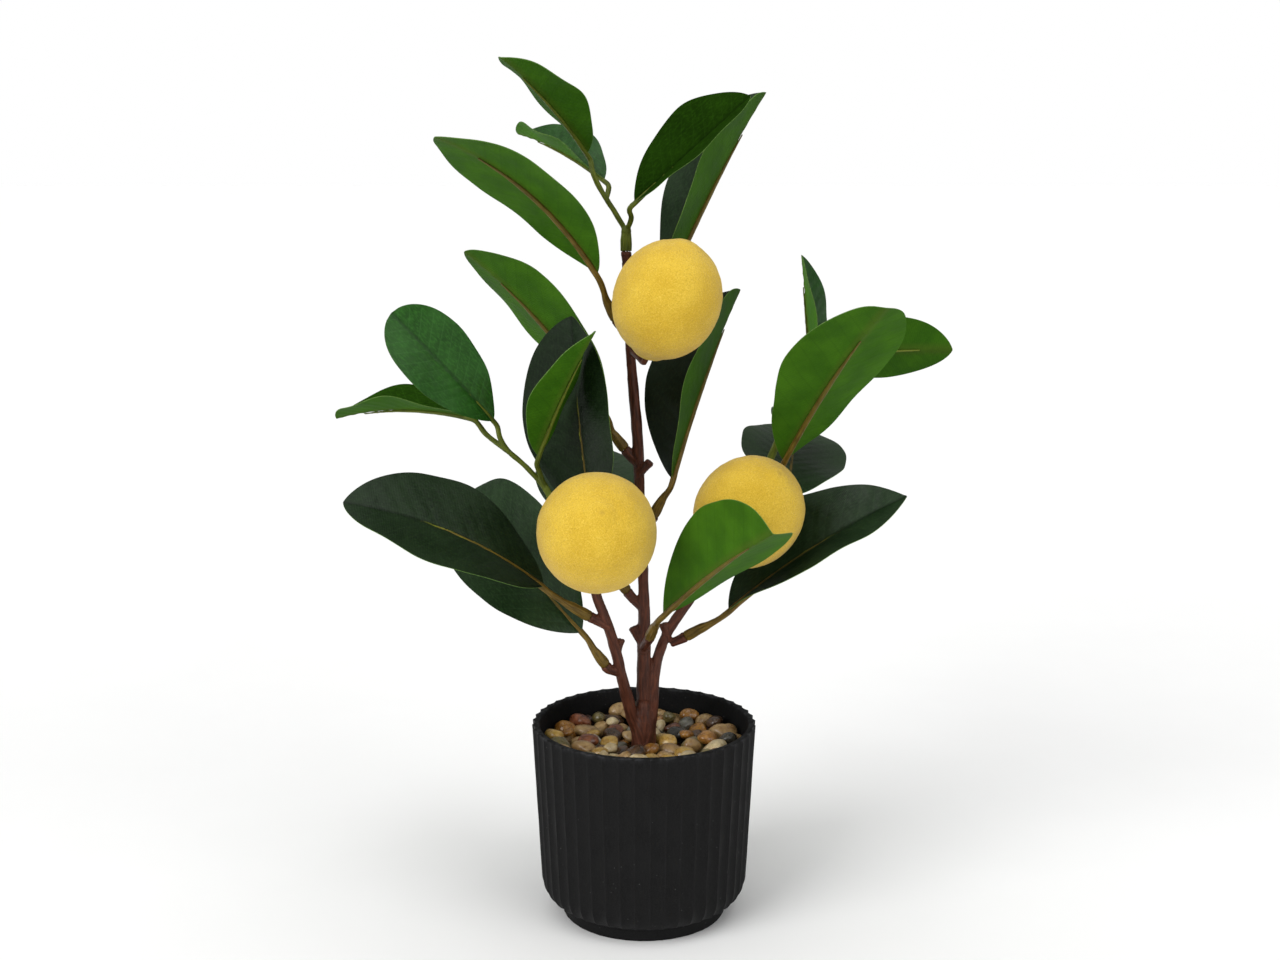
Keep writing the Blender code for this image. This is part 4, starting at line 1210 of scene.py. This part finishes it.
def build_sprig(name, stem, arms, material):
    """Green stem with its sleeve, forks and the midribs of its small leaves."""
    points = [plant(p) for p in stem[1:]]
    tail = smooth_path(points[1:], 4) if len(points) > 2 else points[1:]
    path = [points[0], points[0].lerp(points[1], 0.5), points[0].lerp(points[1], 0.9)] + tail
    radii = [SLEEVE_RADIUS, SLEEVE_RADIUS, SLEEVE_RADIUS - 0.4] + blend([2.2, 1.9], len(tail))
    ridges = [0.65, 0.65, 0.4] + [0.12] * len(tail)
    tubes = [resampled(path, radii, ridges, 0.9, 6)]
    for leaf, route in arms.items():
        rib = Blade(LEAVES[leaf]).rib_path()
        twig = smooth_path([plant(p) for p in route] + rib[:2], 4)
        radii = [TWIG_RADIUS + 0.1] * (len(twig) - 1)
        radii += tapered((TWIG_RADIUS, RIB_TIP_RADIUS, 0.45), len(rib) - 1)
        tubes.append(resampled(twig + rib[2:], radii, [0.08] * len(radii), 0.9, 8))
    sprig = moulding(name.replace("sprig", "green_sprig"), tubes, [material], plain_carve, SPRIG_VOXEL,
                     smoothing=2, line_count=7)
    add_piece(sprig, "green_plastic", name)


# Lemons

def lemon_outline(diameter):
    """Even places along the fruit's outline as (radius, height), from the stem end to the nipple."""
    half = LEMON_LENGTH / 2
    outline = [(0.0, 2.2), (1.6, 1.6), (3.2, 0.5), (5.6, 0.3)]
    for degrees in range(20, 160, 6):
        turn = math.radians(degrees)
        outline.append((diameter / 2 * math.sin(turn) ** 0.95, half - (half - 1.2) * math.cos(turn)))
    nipple = ((7.2, 1.9), (4.6, 0.75), (2.2, 0.1), (0, 0))
    outline += [(radius, LEMON_LENGTH - below) for radius, below in nipple]
    path = smooth_path([(r, 0, z) for r, z in outline], 1.0)
    run = running_length(path)
    marks = np.linspace(0, run[-1], LEMON_GRID[0] + 1)
    return list(zip(np.clip(np.interp(marks, run, [p.x for p in path]), 0, None),
                    np.interp(marks, run, [p.z for p in path])))


def build_lemon(name, axis, diameter, material, seed):
    """Oval foam fruit with a granular skin, a dimple at its twig and a blunt nipple."""
    low, high = (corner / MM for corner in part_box(name))
    turn = Vector((0, 0, 1)).rotation_difference(Vector(axis).normalized())
    outline = lemon_outline(diameter)
    steps = LEMON_GRID[1]
    points, share, rings = [], [], []
    for place, (radius, height) in enumerate(outline):
        count = 1 if place in (0, len(outline) - 1) else steps
        rings.append(range(len(points), len(points) + count))
        for step in range(count):
            angle = 2 * math.pi * step / steps
            spot = Vector((radius * math.cos(angle), radius * math.sin(angle), height - LEMON_LENGTH / 2))
            out = Vector((spot.x, spot.y, spot.z * 0.8)).normalized()
            rise = 0.42 * bump_noise(spot, 19, seed) + 0.16 * bump_noise(spot, 6, seed + 2)
            rise += 0.10 * bump_noise(spot, 2.2, seed + 5) + 0.07 * bump_noise(spot, 1.3, seed + 7)
            points.append(turn @ (spot + out * rise * min(1.0, radius / 6)))
            share.append(place / (len(outline) - 1))
    corners = np.array(points)
    shift = (low + high) / 2 - Vector((corners.min(0) + corners.max(0)) / 2)
    points = [p + shift for p in points]
    fruit = make_object(name.replace("lemon", "foam_lemon"), points, ring_faces(rings, steps), [material])
    vertex_values(fruit, "share", share)
    add_piece(fruit, "lemon_foam", name)


# Studio

def sun_lamp(name, place, strength, spread):
    """Soft distant lamp aimed at the plant's middle."""
    light = bpy.data.lights.new(name, "SUN")
    light.energy = strength
    light.angle = math.radians(spread)
    thing = new_object(name, light)
    thing.location = place
    thing.rotation_euler = (Vector(LAMP_TARGET) - thing.location).to_track_quat("-Z", "Y").to_euler()


def build_studio():
    """White surroundings seen by the camera, a weaker glow and soft lamps on the object, and a floor."""
    world = bpy.data.worlds.new("studio")
    bpy.context.scene.world = world
    world.use_nodes = True
    tree = world.node_tree
    seen = tree.nodes["Background"]
    seen.inputs["Color"].default_value = (1, 1, 1, 1)
    seen.inputs["Strength"].default_value = 1.0
    glow = tree.nodes.new("ShaderNodeBackground")
    glow.inputs["Color"].default_value = (1, 1, 1, 1)
    glow.inputs["Strength"].default_value = GLOW
    path = tree.nodes.new("ShaderNodeLightPath")
    mix = tree.nodes.new("ShaderNodeMixShader")
    tree.links.new(path.outputs["Is Camera Ray"], mix.inputs["Fac"])
    tree.links.new(glow.outputs[0], mix.inputs[1])
    tree.links.new(seen.outputs[0], mix.inputs[2])
    tree.links.new(mix.outputs[0], tree.nodes["World Output"].inputs["Surface"])
    for name, (place, strength, spread) in LAMPS.items():
        sun_lamp(name, place, strength, spread)
    corners = [Vector((x, y, 0)) * FLOOR_SIZE / MM for x, y in ((-1, -1), (1, -1), (1, 1), (-1, 1))]
    floor = make_object("studio_floor", corners, [(0, 1, 2, 3)], [floor_material()])
    floor.location.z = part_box("pot")[0].z


def build_camera():
    camera = bpy.data.cameras.new("camera")
    camera.sensor_width = SENSOR_WIDTH
    camera.lens = LENS
    thing = new_object("camera", camera)
    thing.location = CAMERA_PLACE
    thing.rotation_euler = (math.radians(90 - CAMERA_TILT), 0, 0)
    bpy.context.scene.camera = thing


def assign(node, material):
    """Give a CAD node that stays a better material."""
    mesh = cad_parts[node].data
    mesh.materials.clear()
    mesh.materials.append(material)


def main():
    build_camera()
    build_pot(pot_material())
    kinds = [stone_material(name, *values) for name, values in STONES.items()]
    build_gravel(kinds, soil_material())
    build_branches(bark_material())
    edge = leaf_edge()
    faces = {
        "large": [leaf_top("leaf_top_large", (0.0050, 0.0125, 0.0040), (0.0100, 0.0225, 0.0075),
                           (0.020, 0.038, 0.016), 0.25, 0.40),
                  leaf_underside("leaf_under_large", (0.031, 0.104, 0.004), (0.054, 0.158, 0.007),
                                 (0.070, 0.105, 0.012)), edge],
        "small": [leaf_top("leaf_top_small", (0.0075, 0.036, 0.0035), (0.0160, 0.066, 0.0085),
                           (0.030, 0.095, 0.020), 0.4, 0.36),
                  leaf_underside("leaf_under_small", (0.029, 0.104, 0.004), (0.050, 0.154, 0.006),
                                 (0.070, 0.105, 0.012)), edge],
    }
    # a darker copy of the small leaves' upper face: painted shade, with less shine
    faces["deep"] = [leaf_top("leaf_top_shaded", (0.0085, 0.030, 0.0010), (0.0155, 0.052, 0.0022),
                              (0.030, 0.090, 0.008), 0.25, 0.75, 0.02)] + faces["small"][1:]
    for seed, (name, row) in enumerate(LEAVES.items()):
        build_leaf(name, row, faces["deep" if name in SHADED_LEAVES else row[0]], float(seed))
    olive = stalk_material("stalk_olive", (0.085, 0.052, 0.007), (0.180, 0.112, 0.017), (0.10, 0.085, 0.014))
    for name, stalk in STALKS.items():
        build_stalk(name.replace("leaf", "stalk"), LEAVES[name], stalk, olive)
    green = stalk_material("sprig_green", (0.050, 0.070, 0.005), (0.110, 0.135, 0.011), (0.12, 0.15, 0.015))
    for name, (stem, arms) in SPRIGS.items():
        build_sprig(name, stem, arms, green)
    skin = lemon_material()
    for seed, (name, (_, axis, diameter, _)) in enumerate(LEMONS.items()):
        build_lemon(name, axis, diameter, skin, 11.0 * seed)
    foam = hidden_material("planting_foam", (0.16, 0.15, 0.13), (0.33, 0.32, 0.29), 2.0, 0.0, 0.85)
    assign("planting_block", foam)
    steel = hidden_material("wire_steel", (0.30, 0.30, 0.31), (0.55, 0.55, 0.56), 0.6, 1.0, 0.4)
    assign("trunk_wire", steel)
    build_studio()
    bpy.context.scene.view_settings.view_transform = "Standard"


main()
